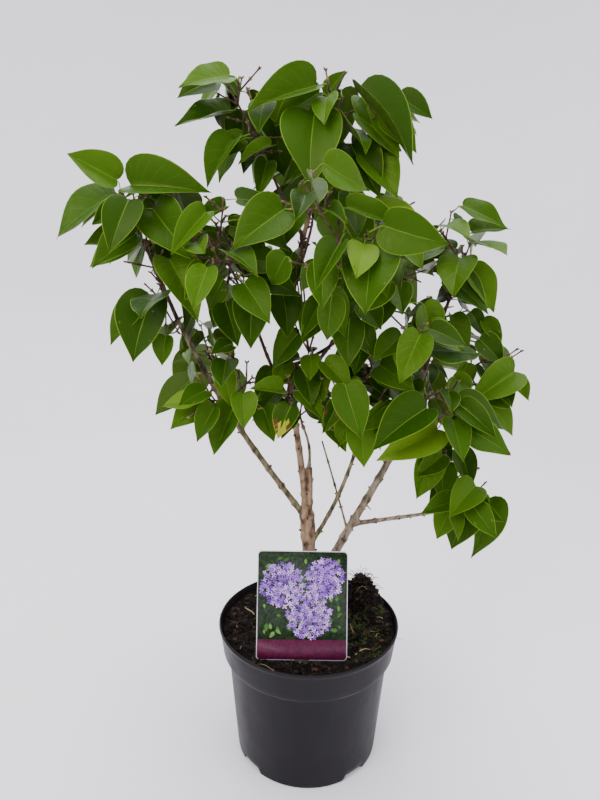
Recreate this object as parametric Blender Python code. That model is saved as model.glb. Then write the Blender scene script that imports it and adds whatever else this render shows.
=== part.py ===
"""A lilac bush in its round nursery pot, as separate solids, in metres.

The pot stands on the XY plane with its axis on Z, and its front faces -Y. A short trunk rises
from the soil, forks, and carries the boughs. Every bough ends where it enters a mass of leaves.
A mass is one stem with side shoots and pairs of heart-shaped leaves, grown by a seeded rule.
"""

import math
import random

import bmesh
import bpy
import numpy as np
from mathutils import Matrix, Vector
from mathutils.bvhtree import BVHTree

GAP = 0.0003

POT_HEIGHT = 0.177
RIM_RADIUS = 0.115
COLLAR_HEIGHT = 0.040
COLLAR_FOOT_RADIUS = 0.1106
BODY_TOP_RADIUS = 0.103
BASE_RADIUS = 0.092
BASE_CHAMFER = 0.002
WALL = 0.0018
FLOOR = 0.003
LIP_ROUNDING = 0.0005
POT_SIDES = 40
NOTCH_BEARINGS = (-50, 40, 130, 220)
NOTCH_WIDTH = 0.034
NOTCH_HEIGHT = 0.0085
NOTCH_DEPTH = 0.010

SOIL_TOP = POT_HEIGHT - 0.011
SOIL_RINGS = 5
SOIL_FLAT_RADIUS = 0.022
SOIL_RIPPLE = 0.003
HEAP_PLACE = Vector((0.080, 0.052))
HEAP_WIDTH = 0.022
HEAP_HEIGHT = 0.042

CARD_WIDTH = 0.108
CARD_HEIGHT = 0.128
CARD_THICKNESS = 0.0008
CARD_CORNER = 0.005
CARD_FOOT = Vector((-0.009, -0.077, SOIL_TOP + 0.003))
CARD_LEAN = math.radians(17)
STAKE_WIDTH = 0.018
STAKE_LENGTH = 0.020

TRUNK_RADIUS = 0.0083
FLARE = 0.0035
FLARE_HEIGHT = 0.012
KNOT = 0.0014
KNOT_Z = 0.300
KNOT_HALF_HEIGHT = 0.010
FORK_Z = 0.328
FORK_STEP = 0.004
LEADER_RADIUS = 0.0050
LEADER_TIP_RADIUS = 0.0025

TRUNK_SIDES = 8
TRUNK_STEP = 0.020
LIMB_SIDES = 6
LIMB_STEP = 0.030
TWIG_SIDES = 3
SIDE_SHOOT_RADIUS = 0.0011
TWIG_TIP_RADIUS = 0.0008
PETIOLE_RADIUS = 0.0007
ROOT_SINK = 0.0003
STALK_HALF_BASE = math.sqrt(3) / 2

# Half of a heart-shaped blade, from its foot lobe to its shoulder: across as a share of the
# blade's width, and along as a share of its length.
BLADE_OUTLINE = ((0.26, -0.06), (0.50, 0.26), (0.30, 0.66))
MIDRIB_SHARE = 0.42
BLADE_THICKNESS = 0.014

# Ranges that each leaf is drawn from. Angles are in degrees.
LEAF_FORWARD = (0.2, 0.7)
LEAF_LIFT = (-0.1, 0.5)
LEAF_FLATTENING = 0.5
STALK_SHARE = (0.18, 0.30)
LEAF_DROOP = (5, 65)
LEAF_ROLL = 16
LEAF_WIDTH = (0.68, 0.80)
LEAF_FOLD = (8, 28)
LEAF_ARCH = (0.06, 0.20)
STEM_LEAF_SIZE = (0.78, 1.0)
SIDE_LEAF_SIZE = (0.62, 0.92)
LEAF_TRIES = 8
LEAF_ROOM = 0.0012

# Blades turn up and outwards: to the front before this Y, and to the back behind it.
BACK_Y = 0.045
FRONT_LIGHT = Vector((0, -0.75, 0.65))
BACK_LIGHT = Vector((0, 0.75, 0.65))

INTERNODE = 0.030
STEM_BOW = Vector((0, 0, 0.003))
STEM_BARE_SHARE = 0.25
SIDE_BARE_SHARE = 0.5
LAST_SHARE = 0.96
SHOOT_FORWARD = (0.4, 0.9)
SHOOT_LIFT = 0.15
SHOOT_LENGTH = (0.55, 1.0)
SHORT_SHOOT = 0.033
SITES_PER_SEED = 100
SHOOT_TRIES = 4
CROWN_CENTRE = Vector((0.0, 0.0, 0.55))
SPACE_SAMPLES = 7

SHARP_ANGLE = math.radians(35)
LEAF_COLOUR = (0.05, 0.16, 0.012)
BARK_COLOUR = (0.20, 0.13, 0.075)
POT_COLOUR = (0.018, 0.018, 0.020)
SOIL_COLOUR = (0.020, 0.013, 0.009)
CARD_COLOUR = (0.35, 0.16, 0.42)

# Each limb: the limb it leaves, the share of that limb's length where it does, its tip, how far
# its middle bows off the straight line, how far it sways as an S, and its foot and tip radius.
TRUNK_FOOT = Vector((-0.001, 0.010, SOIL_TOP + GAP))
LIMBS = {
    "trunk": (None, 0, (0.001, 0, 0.717), (-0.021, 0.003, 0), (0.012, 0.001, 0), 0, 0),
    "stub": ("trunk", 0.25, (-0.003, 0.007, 0.380), (0.001, 0, 0), (0, 0, 0), 0.0050, 0.0043),
    "stub_shoot": ("stub", 1, (-0.012, -0.010, 0.440), (0.004, 0.002, 0), (0, 0, 0), 0.0019, 0.0014),
    "left_bough": (
        "trunk", 0.26, (-0.153, -0.030, 0.565), (-0.005, -0.008, -0.004), (0, 0.003, 0), 0.0038, 0.0025,
    ),
    "low_left_bough": (
        "left_bough", 0.60, (-0.098, -0.046, 0.472), (0, 0, 0.003), (0, 0, 0), 0.0020, 0.0015,
    ),
    "mid_left_bough": (
        "trunk", 0.69, (-0.074, -0.042, 0.616), (0.007, -0.005, 0), (0, 0, 0), 0.0023, 0.0017,
    ),
    "upper_left_bough": (
        "trunk", 0.89, (-0.054, 0.020, 0.733), (-0.002, 0.004, 0), (0, 0, 0), 0.0021, 0.0016,
    ),
    "top_right_bough": (
        "trunk", 0.97, (0.027, -0.010, 0.734), (0, -0.002, -0.003), (0, 0, 0), 0.0019, 0.0015,
    ),
    "upper_right_bough": (
        "trunk", 0.80, (0.050, 0.006, 0.655), (-0.002, 0, 0.004), (0, 0, 0), 0.0021, 0.0016,
    ),
    "front_bough": (
        "trunk", 0.73, (0.012, -0.048, 0.612), (0, -0.006, -0.002), (0, 0, 0), 0.0021, 0.0016,
    ),
    "centre_right_bough": (
        "trunk", 0.62, (0.045, -0.022, 0.560), (0.002, -0.003, -0.004), (0, 0, 0), 0.0022, 0.0016,
    ),
    "inner_right_bough": (
        "trunk", 0.19, (0.059, -0.025, 0.444), (0.006, 0.003, -0.006), (0, 0, 0), 0.0029, 0.0020,
    ),
    "right_bough": (
        "trunk", 0.02, (0.133, 0.010, 0.505), (0.002, -0.011, 0), (-0.005, 0, 0.002), 0.0060, 0.0032,
    ),
    "snag": ("right_bough", 0.49, (0.075, 0.000, 0.329), (0, 0, 0), (0, 0, 0), 0.0009, 0.0007),
    "bare_shoot": (
        "right_bough", 0.37, (0.013, 0.020, 0.411), (0, 0, 0.001), (0, 0, 0), 0.0014, 0.0010,
    ),
    "low_right_bough": (
        "right_bough", 0.40, (0.149, -0.020, 0.335), (-0.001, -0.003, 0.001), (0, 0, 0), 0.0031, 0.0018,
    ),
    "right_front_bough": (
        "right_bough", 0.78, (0.137, -0.045, 0.450), (0.004, 0, -0.006), (0, 0, 0), 0.0024, 0.0017,
    ),
    "right_side_bough": (
        "right_bough", 0.88, (0.176, 0.004, 0.500), (0.002, 0, -0.004), (0, 0, 0), 0.0023, 0.0017,
    ),
    "back_left_bough": (
        "trunk", 0.52, (-0.078, 0.078, 0.560), (0, 0.004, -0.010), (0, 0, 0), 0.0028, 0.0019,
    ),
    "back_right_bough": (
        "trunk", 0.57, (0.058, 0.080, 0.580), (0, 0.004, -0.010), (0, 0, 0), 0.0028, 0.0019,
    ),
    "back_top_bough": (
        "trunk", 0.81, (-0.004, 0.062, 0.672), (0, 0.004, -0.006), (0, 0, 0), 0.0022, 0.0016,
    ),
    "back_low_left_bough": (
        "left_bough", 0.50, (-0.108, 0.052, 0.468), (0, 0.004, -0.006), (0, 0, 0), 0.0023, 0.0017,
    ),
    "back_low_right_bough": (
        "right_bough", 0.66, (0.122, 0.066, 0.452), (0, 0.003, -0.006), (0, 0, 0), 0.0025, 0.0018,
    ),
}

# Each mass: the limb whose tip its stem meets, the stem's tip, how far side shoots reach, the
# share of the nodes' sides that branch, its longest leaf and its seed.
MASSES = {
    "left_tip_foliage": ("left_bough", (-0.210, -0.035, 0.700), 0.075, 0.4, 0.085, 112),
    "right_foliage": ("right_bough", (0.180, 0.020, 0.655), 0.070, 0.3, 0.075, 61),
    "top_foliage": ("trunk", (0.025, -0.015, 0.800), 0.065, 0.5, 0.085, 18),
    "top_right_foliage": ("top_right_bough", (0.060, -0.010, 0.785), 0.055, 0.5, 0.085, 232),
    "upper_left_foliage": ("upper_left_bough", (-0.100, 0.000, 0.815), 0.055, 0.4, 0.070, 45),
    "low_left_foliage": ("low_left_bough", (-0.085, -0.075, 0.490), 0.060, 0.7, 0.075, 119),
    "mid_left_foliage": ("mid_left_bough", (-0.120, -0.065, 0.660), 0.080, 0.8, 0.085, 45),
    "low_right_foliage": ("low_right_bough", (0.185, -0.020, 0.355), 0.065, 0.5, 0.065, 213),
    "upper_right_foliage": ("upper_right_bough", (0.095, -0.005, 0.680), 0.055, 0.4, 0.080, 148),
    "front_foliage": ("front_bough", (0.025, -0.120, 0.660), 0.075, 0.7, 0.095, 162),
    "centre_right_foliage": ("centre_right_bough", (0.095, -0.065, 0.590), 0.075, 0.6, 0.090, 100),
    "right_front_foliage": ("right_front_bough", (0.140, -0.095, 0.480), 0.050, 0.7, 0.085, 206),
    "right_side_foliage": ("right_side_bough", (0.210, -0.010, 0.525), 0.065, 0.4, 0.060, 257),
    "inner_left_foliage": ("stub_shoot", (-0.025, -0.040, 0.485), 0.075, 0.6, 0.065, 164),
    "inner_right_foliage": ("inner_right_bough", (0.035, -0.055, 0.505), 0.065, 0.6, 0.070, 164),
    "back_left_foliage": ("back_left_bough", (-0.130, 0.120, 0.655), 0.070, 0.4, 0.080, 69),
    "back_right_foliage": ("back_right_bough", (0.110, 0.125, 0.670), 0.060, 0.4, 0.080, 74),
    "back_top_foliage": ("back_top_bough", (0.005, 0.100, 0.770), 0.065, 0.4, 0.085, 5),
    "back_low_left_foliage": ("back_low_left_bough", (-0.145, 0.105, 0.510), 0.060, 0.4, 0.070, 5),
    "back_low_right_foliage": ("back_low_right_bough", (0.160, 0.110, 0.500), 0.065, 0.4, 0.070, 40),
}


def line_point(line, share):
    """The point at this share of a line, which bows and sways off the straight way to its tip."""
    start, tip, bow, sway = line
    turn = math.pi * share
    return start.lerp(tip, share) + bow * math.sin(turn) + sway * math.sin(2 * turn)


def line_heading(line, share):
    near = line_point(line, max(share - 0.01, 0))
    far = line_point(line, min(share + 0.01, 1))
    return (far - near).normalized()


def line_length(line):
    points = [line_point(line, step / 8) for step in range(9)]
    return sum((b - a).length for a, b in zip(points, points[1:]))


def limb_line(name):
    parent, share, tip, bow, sway, _, _ = LIMBS[name]
    start = line_point(limb_line(parent), share) if parent else TRUNK_FOOT
    return start, Vector(tip), Vector(bow), Vector(sway)


def trunk_radius(point):
    """Flared at the soil, swollen at the knot, then slimmer where the leader goes on alone."""
    height = point.z - TRUNK_FOOT.z
    leader_share = max(point.z - FORK_Z, 0) / (LIMBS["trunk"][2][2] - FORK_Z)
    leader = LEADER_RADIUS + (LEADER_TIP_RADIUS - LEADER_RADIUS) * math.sqrt(leader_share)
    above_fork = 1 / (1 + math.exp((FORK_Z - point.z) / FORK_STEP))
    radius = TRUNK_RADIUS + (leader - TRUNK_RADIUS) * above_fork
    radius += FLARE * math.exp(-height / FLARE_HEIGHT)
    return radius + KNOT * math.exp(-(((point.z - KNOT_Z) / KNOT_HALF_HEIGHT) ** 2))


def limb_radius(name, share):
    if name == "trunk":
        return trunk_radius(line_point(limb_line(name), share))
    foot, tip = LIMBS[name][5:]
    return foot + (tip - foot) * share


def limb_sections(name):
    """The points along a limb at which its tube has a section."""
    line = limb_line(name)
    steps = max(2, round(line_length(line) / (TRUNK_STEP if name == "trunk" else LIMB_STEP)))
    return [line_point(line, step / steps) for step in range(steps + 1)]


def limb_end_heading(name):
    before, tip = limb_sections(name)[-2:]
    return (tip - before).normalized()


def mass_stem(name):
    """A mass's stem goes on from its limb's tip, with a gap between the two."""
    limb, tip = MASSES[name][:2]
    start = Vector(LIMBS[limb][2]) + limb_end_heading(limb) * GAP
    return start, Vector(tip), STEM_BOW, Vector()


def spaces():
    """Points along every stem, with the stem's mass and its reach: they share out the crown."""
    points, owners, reaches = [], [], []
    for name, mass in MASSES.items():
        stem = mass_stem(name)
        for step in range(SPACE_SAMPLES):
            points.append(line_point(stem, 0.15 + 0.85 * step / (SPACE_SAMPLES - 1)))
            owners.append(name)
            reaches.append(mass[2])
    return np.array(points), owners, np.array(reaches)


def in_own_space(name, point, space):
    """Whether this point is nearer, for its reach, to this mass's stem than to another's."""
    places, owners, reaches = space
    nearest = (np.linalg.norm(places - np.array(point), axis=1) - reaches).argmin()
    return owners[nearest] == name


def tube_mesh(points, radii, sides, first_heading=None):
    """A closed tube through these points. first_heading is what its first end stands square to."""
    across = (points[1] - points[0]).orthogonal().normalized()
    verts = []
    for index, point in enumerate(points):
        before = points[max(index - 1, 0)]
        after = points[min(index + 1, len(points) - 1)]
        heading = (after - before).normalized()
        if index == 0 and first_heading:
            heading = first_heading
        across = (across - heading * across.dot(heading)).normalized()
        other = heading.cross(across)
        for side in range(sides):
            angle = 2 * math.pi * side / sides
            verts.append(point + (across * math.cos(angle) + other * math.sin(angle)) * radii[index])
    faces = [tuple(reversed(range(sides)))]
    for index in range(len(points) - 1):
        low, high = index * sides, (index + 1) * sides
        for side in range(sides):
            after = (side + 1) % sides
            faces.append((low + side, low + after, high + after, high + side))
    faces.append(tuple(range((len(points) - 1) * sides, len(points) * sides)))
    return verts, faces


def leaf_mesh(leaf, room=0.0):
    """A stalk and a folded, arching blade as one closed mesh. room thickens it all round."""
    root, foot, along, normal, length, width, fold, arch = leaf
    across = along.cross(normal)
    stalk = (foot - root).normalized()
    radius = PETIOLE_RADIUS + room

    def blade_point(x, y, lift=0.0):
        sag = arch * length * y * y
        rise = abs(x) * math.tan(fold) * width - sag + lift
        return foot + across * (x * width) + along * (y * length) + normal * rise

    verts = []
    for place, heading in ((root, stalk), (foot, (stalk + along).normalized())):
        up = across.cross(heading)
        up = up.normalized() if up.length > 0.3 else (normal - heading * heading.dot(normal)).normalized()
        verts.append(place + up * radius)
        for side in (-STALK_HALF_BASE, STALK_HALF_BASE):
            verts.append(place + heading.cross(up) * (side * radius) - up * (radius / 2))
    half = BLADE_THICKNESS * length / 2 + room
    verts.append(blade_point(0, MIDRIB_SHARE, half))
    verts.append(blade_point(0, MIDRIB_SHARE, -half))
    verts.append(blade_point(0, 1 + room / length))
    grow = 1 + 2 * room / width
    for side in (-1, 1):
        for x, y in BLADE_OUTLINE:
            verts.append(blade_point(side * x * grow, y))
    count = len(BLADE_OUTLINE)
    top, bottom, tip = 6, 7, 8
    left = list(range(9, 9 + count))
    right = list(range(9 + count, 9 + 2 * count))
    faces = [(0, 1, 2), (0, 3, 4, 1), (1, 4, 5, 2), (2, 5, 3, 0)]
    faces += [(3, left[0], 4), (3, top, left[0]), (3, 5, right[0]), (3, right[0], top)]
    faces += [(4, left[0], bottom), (5, bottom, right[0]), (4, bottom, 5)]
    for near, far in zip(left, left[1:] + [tip]):
        faces += [(top, far, near), (bottom, near, far)]
    for near, far in zip(right, right[1:] + [tip]):
        faces += [(top, near, far), (bottom, far, near)]
    return verts, faces


class Crowd:
    """What stands in the crown so far, for keeping leaves clear of it."""

    def __init__(self):
        self.trees = []
        self.centres = []
        self.radii = []

    def add(self, verts, faces):
        points = np.array(verts)
        centre = points.mean(axis=0)
        self.trees.append(BVHTree.FromPolygons(verts, faces))
        self.centres.append(centre)
        self.radii.append(np.linalg.norm(points - centre, axis=1).max())

    def hits(self, verts, faces):
        if not self.trees:
            return False
        points = np.array(verts)
        centre = points.mean(axis=0)
        radius = np.linalg.norm(points - centre, axis=1).max()
        far = np.linalg.norm(np.array(self.centres) - centre, axis=1)
        near = np.nonzero(far < np.array(self.radii) + radius)[0]
        if not len(near):
            return False
        tree = BVHTree.FromPolygons(verts, faces)
        return any(tree.overlap(self.trees[index]) for index in near)


def node_shares(first_share, nodes):
    """Where a shoot bears its pairs of leaves, as shares of its length: the last is close to its tip."""
    return [first_share + (LAST_SHARE - first_share) * node / nodes for node in range(nodes + 1)]


def section_shares(shoot):
    """The shares of a shoot's length at which its tube has a section: its ends and between nodes."""
    bearing = node_shares(shoot[3], shoot[4])
    return [0] + [(near + far) / 2 for near, far in zip(bearing, bearing[1:])] + [1]


def shoot_point(shoot, share):
    """The point at this share of a shoot, on the axis of its tube."""
    shares = section_shares(shoot)
    for near, far in zip(shares, shares[1:]):
        if share <= far:
            start, end = line_point(shoot[0], near), line_point(shoot[0], far)
            return start.lerp(end, (share - near) / (far - near))


def shoot_mesh(shoot, room=0.0):
    line, foot_radius, tip_radius, _, _, first_heading = shoot
    shares = section_shares(shoot)
    points = [line_point(line, share) for share in shares]
    radii = [foot_radius + (tip_radius - foot_radius) * share + room for share in shares]
    return tube_mesh(points, radii, TWIG_SIDES, first_heading)


def sides_of(heading):
    """Two directions square to a shoot: one level, and one that rises."""
    level = heading.cross(Vector((0, 0, 1)))
    level = level.normalized() if level.length > 0.1 else Vector((1, 0, 0))
    return level, level.cross(heading)


def leaf_at(shoot, share, bearing, size, rng):
    """A leaf on this side of a shoot: its stalk leans out and up, and its blade hangs over."""
    heading = line_heading(shoot[0], share)
    level, rise = sides_of(heading)
    out = level * math.cos(bearing) + rise * math.sin(bearing)
    out += heading * rng.uniform(*LEAF_FORWARD)
    out.z *= LEAF_FLATTENING
    out.normalize()
    stalk = (out + Vector((0, 0, rng.uniform(*LEAF_LIFT)))).normalized()
    root = shoot_point(shoot, share) - stalk * ROOT_SINK
    foot = root + stalk * size * rng.uniform(*STALK_SHARE)
    droop = math.radians(rng.uniform(*LEAF_DROOP))
    flat = Vector((out.x, out.y, 0.0))
    flat = flat.normalized() if flat.length > 0.05 else (root - CROWN_CENTRE).xy.to_3d().normalized()
    along = flat * math.cos(droop) - Vector((0, 0, math.sin(droop)))
    light = FRONT_LIGHT if root.y < BACK_Y else BACK_LIGHT
    normal = (light - along * light.dot(along)).normalized()
    normal.rotate(Matrix.Rotation(math.radians(rng.gauss(0, LEAF_ROLL)), 3, along))
    width = size * rng.uniform(*LEAF_WIDTH)
    fold = math.radians(rng.uniform(*LEAF_FOLD))
    return root, foot, along, normal, size, width, fold, rng.uniform(*LEAF_ARCH)


def add_leaf(name, shoot, share, bearing, size, rng, space, crowd, leaves):
    """Tries a few ways to hang a leaf here. One that leaves the space or touches something is skipped."""
    for _ in range(LEAF_TRIES):
        leaf = leaf_at(shoot, share, bearing + rng.uniform(-0.3, 0.3), size, rng)
        if not in_own_space(name, leaf[1] + leaf[2] * (leaf[4] / 2), space):
            continue
        clear = leaf_mesh((leaf[0].lerp(leaf[1], 0.35),) + leaf[1:], LEAF_ROOM)
        if crowd.hits(*clear):
            continue
        crowd.add(*clear)
        leaves.append(leaf)
        return


def side_shoot(name, stem, share, bearing, reach, rng, space, crowd):
    """A side shoot that leaves the stem here, or None where there is no room for one."""
    heading = line_heading(stem[0], share)
    level, rise = sides_of(heading)
    root = shoot_point(stem, share)
    for _ in range(SHOOT_TRIES):
        angle = bearing + rng.uniform(-0.4, 0.4)
        side = level * math.cos(angle) + rise * math.sin(angle)
        way = side + heading * rng.uniform(*SHOOT_FORWARD) + Vector((0, 0, SHOOT_LIFT))
        length = reach * rng.uniform(*SHOOT_LENGTH)
        way.normalize()
        tip = root + way * length
        line = (root - way * ROOT_SINK, tip, Vector(), Vector())
        nodes = 1 if length < SHORT_SHOOT else 2
        shoot = (line, SIDE_SHOOT_RADIUS, TWIG_TIP_RADIUS, SIDE_BARE_SHARE, nodes, None)
        clear = shoot_mesh(((root.lerp(tip, 0.2),) + line[1:],) + shoot[1:], LEAF_ROOM)
        if in_own_space(name, tip, space) and not crowd.hits(*clear):
            crowd.add(*clear)
            return shoot
    return None


def grow_mass(name, space, crowd):
    """The shoots and leaves of one mass: nodes along the stem, each with two sides, crossed in turn."""
    limb, _, reach, branching, longest, seed = MASSES[name]
    rng = random.Random(seed)
    line = mass_stem(name)
    nodes = max(2, round(line_length(line) / INTERNODE))
    stem = (line, limb_radius(limb, 1), TWIG_TIP_RADIUS, STEM_BARE_SHARE, nodes, limb_end_heading(limb))
    crowd.add(*shoot_mesh(stem))
    shoots, sites = [stem], []
    turn = rng.uniform(0, math.pi)
    for share in node_shares(STEM_BARE_SHARE, nodes):
        for side in (0, math.pi):
            bearing = turn + side
            branches = share < LAST_SHARE and rng.random() < branching
            shoot = side_shoot(name, stem, share, bearing, reach, rng, space, crowd) if branches else None
            if shoot:
                shoots.append(shoot)
            else:
                sites.append((stem, share, bearing, longest * rng.uniform(*STEM_LEAF_SIZE)))
        turn += math.pi / 2
    for shoot in shoots[1:]:
        turn = rng.uniform(0, math.pi)
        for share in node_shares(shoot[3], shoot[4]):
            for side in (0, math.pi):
                sites.append((shoot, share, turn + side, longest * rng.uniform(*SIDE_LEAF_SIZE)))
            turn += math.pi / 2
    leaves = []
    for number, (shoot, share, bearing, size) in enumerate(sites):
        leaf_rng = random.Random(seed * SITES_PER_SEED + number)
        add_leaf(name, shoot, share, bearing, size, leaf_rng, space, crowd, leaves)
    return shoots, leaves


def limb_mesh(name, room=0.0):
    points = limb_sections(name)
    radii = [limb_radius(name, index / (len(points) - 1)) + room for index in range(len(points))]
    return tube_mesh(points, radii, TRUNK_SIDES if name == "trunk" else LIMB_SIDES)


def grow_crown():
    """Every mass's shoots and leaves, by name, in the order of the table."""
    crowd = Crowd()
    for name in LIMBS:
        crowd.add(*limb_mesh(name, LEAF_ROOM))
    space = spaces()
    return {name: grow_mass(name, space, crowd) for name in MASSES}


def material(name, colour, roughness):
    made = bpy.data.materials.new(name)
    made.use_nodes = True
    shader = made.node_tree.nodes["Principled BSDF"]
    shader.inputs["Base Color"].default_value = (*colour, 1)
    shader.inputs["Roughness"].default_value = roughness
    made.diffuse_color = (*colour, 1)
    return made


def new_object(name, verts, faces, finish=None):
    mesh = bpy.data.meshes.new(name)
    mesh.from_pydata(verts, [], faces)
    mesh.validate()
    if finish:
        mesh.materials.append(finish)
    mesh.shade_smooth()
    mesh.set_sharp_from_angle(angle=SHARP_ANGLE)
    made = bpy.data.objects.new(name, mesh)
    bpy.context.scene.collection.objects.link(made)
    return made


def apply_modifiers(obj):
    graph = bpy.context.evaluated_depsgraph_get()
    mesh = bpy.data.meshes.new_from_object(obj.evaluated_get(graph))
    obj.modifiers.clear()
    obj.data = mesh


def cut(obj, cutters):
    """Takes the cutters out of the object, and removes them."""
    for cutter in cutters:
        boolean = obj.modifiers.new("cut", "BOOLEAN")
        boolean.operation = "DIFFERENCE"
        boolean.solver = "EXACT"
        boolean.object = cutter
    apply_modifiers(obj)
    for cutter in cutters:
        bpy.data.objects.remove(cutter)


def unite(name, meshes, finish):
    """One solid of all these closed meshes, joined by one Boolean union on a collection."""
    body = new_object(name, *meshes[0], finish)
    group = bpy.data.collections.new(name + "_pieces")
    bpy.context.scene.collection.children.link(group)
    for verts, faces in meshes[1:]:
        piece = new_object("piece", verts, faces)
        bpy.context.scene.collection.objects.unlink(piece)
        group.objects.link(piece)
    boolean = body.modifiers.new("join", "BOOLEAN")
    boolean.operation = "UNION"
    boolean.operand_type = "COLLECTION"
    boolean.solver = "MANIFOLD"
    boolean.collection = group
    apply_modifiers(body)
    for piece in list(group.objects):
        bpy.data.objects.remove(piece)
    bpy.data.collections.remove(group)
    return body


def turned(name, profile, sides, finish):
    """A closed solid turned about Z. The profile runs from the axis round to the axis, inside on its left."""
    verts, faces, rings = [], [], []
    for radius, z in profile:
        if radius == 0:
            rings.append([len(verts)])
            verts.append((0, 0, z))
            continue
        rings.append(list(range(len(verts), len(verts) + sides)))
        for side in range(sides):
            angle = 2 * math.pi * side / sides
            verts.append((radius * math.cos(angle), radius * math.sin(angle), z))
    for low, high in zip(rings, rings[1:]):
        for side in range(sides):
            after = (side + 1) % sides
            corners = [low[side % len(low)], low[after % len(low)], high[after % len(high)], high[side % len(high)]]
            faces.append(tuple(dict.fromkeys(corners)))
    return new_object(name, verts, faces, finish)


def pot(finish):
    shelf = POT_HEIGHT - COLLAR_HEIGHT
    profile = [
        (0, 0),
        (BASE_RADIUS - BASE_CHAMFER, 0),
        (BASE_RADIUS, BASE_CHAMFER),
        (BODY_TOP_RADIUS, shelf),
        (COLLAR_FOOT_RADIUS, shelf),
        (RIM_RADIUS, POT_HEIGHT - LIP_ROUNDING),
        (RIM_RADIUS - LIP_ROUNDING, POT_HEIGHT),
        (RIM_RADIUS - WALL + LIP_ROUNDING, POT_HEIGHT),
        (RIM_RADIUS - WALL, POT_HEIGHT - LIP_ROUNDING),
        (COLLAR_FOOT_RADIUS - WALL, shelf + WALL),
        (BODY_TOP_RADIUS - WALL, shelf + WALL),
        (BASE_RADIUS - WALL, FLOOR),
        (0, FLOOR),
    ]
    body = turned("pot", profile, POT_SIDES, finish)
    notches = []
    for bearing in NOTCH_BEARINGS:
        notch = box((NOTCH_DEPTH, NOTCH_WIDTH, NOTCH_HEIGHT * 2))
        turn = Matrix.Rotation(math.radians(bearing - 90), 4, "Z")
        notch.data.transform(turn @ Matrix.Translation((BASE_RADIUS, 0, 0)))
        notches.append(notch)
    cut(body, notches)
    return body


def box(sides):
    mesh = bpy.data.meshes.new("box")
    shape = bmesh.new()
    bmesh.ops.create_cube(shape, size=1)
    bmesh.ops.scale(shape, vec=sides, verts=shape.verts)
    shape.to_mesh(mesh)
    shape.free()
    made = bpy.data.objects.new("box", mesh)
    bpy.context.scene.collection.objects.link(made)
    return made


def soil_height(x, y):
    """Flat round the trunk's foot, rippled further out, with one heap at the back right."""
    out = math.hypot(x, y)
    rough = min(max((out - SOIL_FLAT_RADIUS) / SOIL_FLAT_RADIUS, 0), 1)
    ripple = math.sin(x * 140 + 1) * math.cos(y * 120) + 0.6 * math.sin(x * 60 - y * 230)
    heap = math.exp(-(((x - HEAP_PLACE.x) ** 2 + (y - HEAP_PLACE.y) ** 2) / HEAP_WIDTH**2))
    return SOIL_TOP + rough * SOIL_RIPPLE * ripple * 0.5 + HEAP_HEIGHT * heap * rough


def soil(finish):
    """The soil fills the pot, a gap inside its wall."""
    shelf = POT_HEIGHT - COLLAR_HEIGHT
    shelf_top = shelf + WALL + GAP
    edge_radius = COLLAR_FOOT_RADIUS - WALL - GAP
    edge_radius += (RIM_RADIUS - COLLAR_FOOT_RADIUS) * (SOIL_TOP - SOIL_RIPPLE - shelf_top) / COLLAR_HEIGHT
    profile = [
        (0, FLOOR + GAP),
        (BASE_RADIUS - WALL - GAP, FLOOR + GAP),
        (BODY_TOP_RADIUS - WALL - GAP, shelf_top),
        (COLLAR_FOOT_RADIUS - WALL - GAP, shelf_top),
    ]
    profile += [(edge_radius * (SOIL_RINGS - ring) / SOIL_RINGS, SOIL_TOP) for ring in range(SOIL_RINGS + 1)]
    body = turned("soil", profile, POT_SIDES, finish)
    for vertex in body.data.vertices:
        if vertex.co.z > shelf_top + WALL:
            at_edge = vertex.co.xy.length > edge_radius * 0.98
            height = soil_height(vertex.co.x, vertex.co.y)
            vertex.co.z = min(height, POT_HEIGHT - 0.006) if at_edge else height
    slot = card_mesh(GAP)
    cut(body, [new_object("slot", *slot)])
    return body


def card_mesh(room=0.0):
    """A leaning card with round corners and a stake below its foot."""
    half, corner = CARD_WIDTH / 2 + room, CARD_CORNER
    outline = []
    for centre_x, centre_z, first in (
        (half - corner, CARD_HEIGHT + room - corner, 0),
        (corner - half, CARD_HEIGHT + room - corner, 90),
        (corner - half, corner - room, 180),
        (None, None, None),
        (half - corner, corner - room, 270),
    ):
        if first is None:
            stake = STAKE_WIDTH / 2 + room
            outline += [(-stake, -room), (-stake * 0.5, -STAKE_LENGTH - room)]
            outline += [(stake * 0.5, -STAKE_LENGTH - room), (stake, -room)]
            continue
        for step in range(4):
            angle = math.radians(first + 30 * step)
            outline.append((centre_x + corner * math.cos(angle), centre_z + corner * math.sin(angle)))
    depth = CARD_THICKNESS / 2 + room
    place = Matrix.Translation(CARD_FOOT) @ Matrix.Rotation(-CARD_LEAN, 4, "X")
    verts = [place @ Vector((x, -depth, z)) for x, z in outline]
    verts += [place @ Vector((x, depth, z)) for x, z in outline]
    count = len(outline)
    faces = [tuple(range(count)), tuple(reversed(range(count, 2 * count)))]
    for index in range(count):
        after = (index + 1) % count
        faces.append((index, index + count, after + count, after))
    return verts, faces


def limb(name, finish):
    """A limb, cut back so that its foot stands a gap clear of the limb it leaves."""
    body = new_object(name, *limb_mesh(name), finish)
    parent = LIMBS[name][0]
    if parent:
        cutters = [new_object("parent", *limb_mesh(parent, GAP))]
        if name == "stub_shoot":
            cutters.append(new_object("parent", *limb_mesh("trunk", GAP)))
        cut(body, cutters)
    return body


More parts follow.
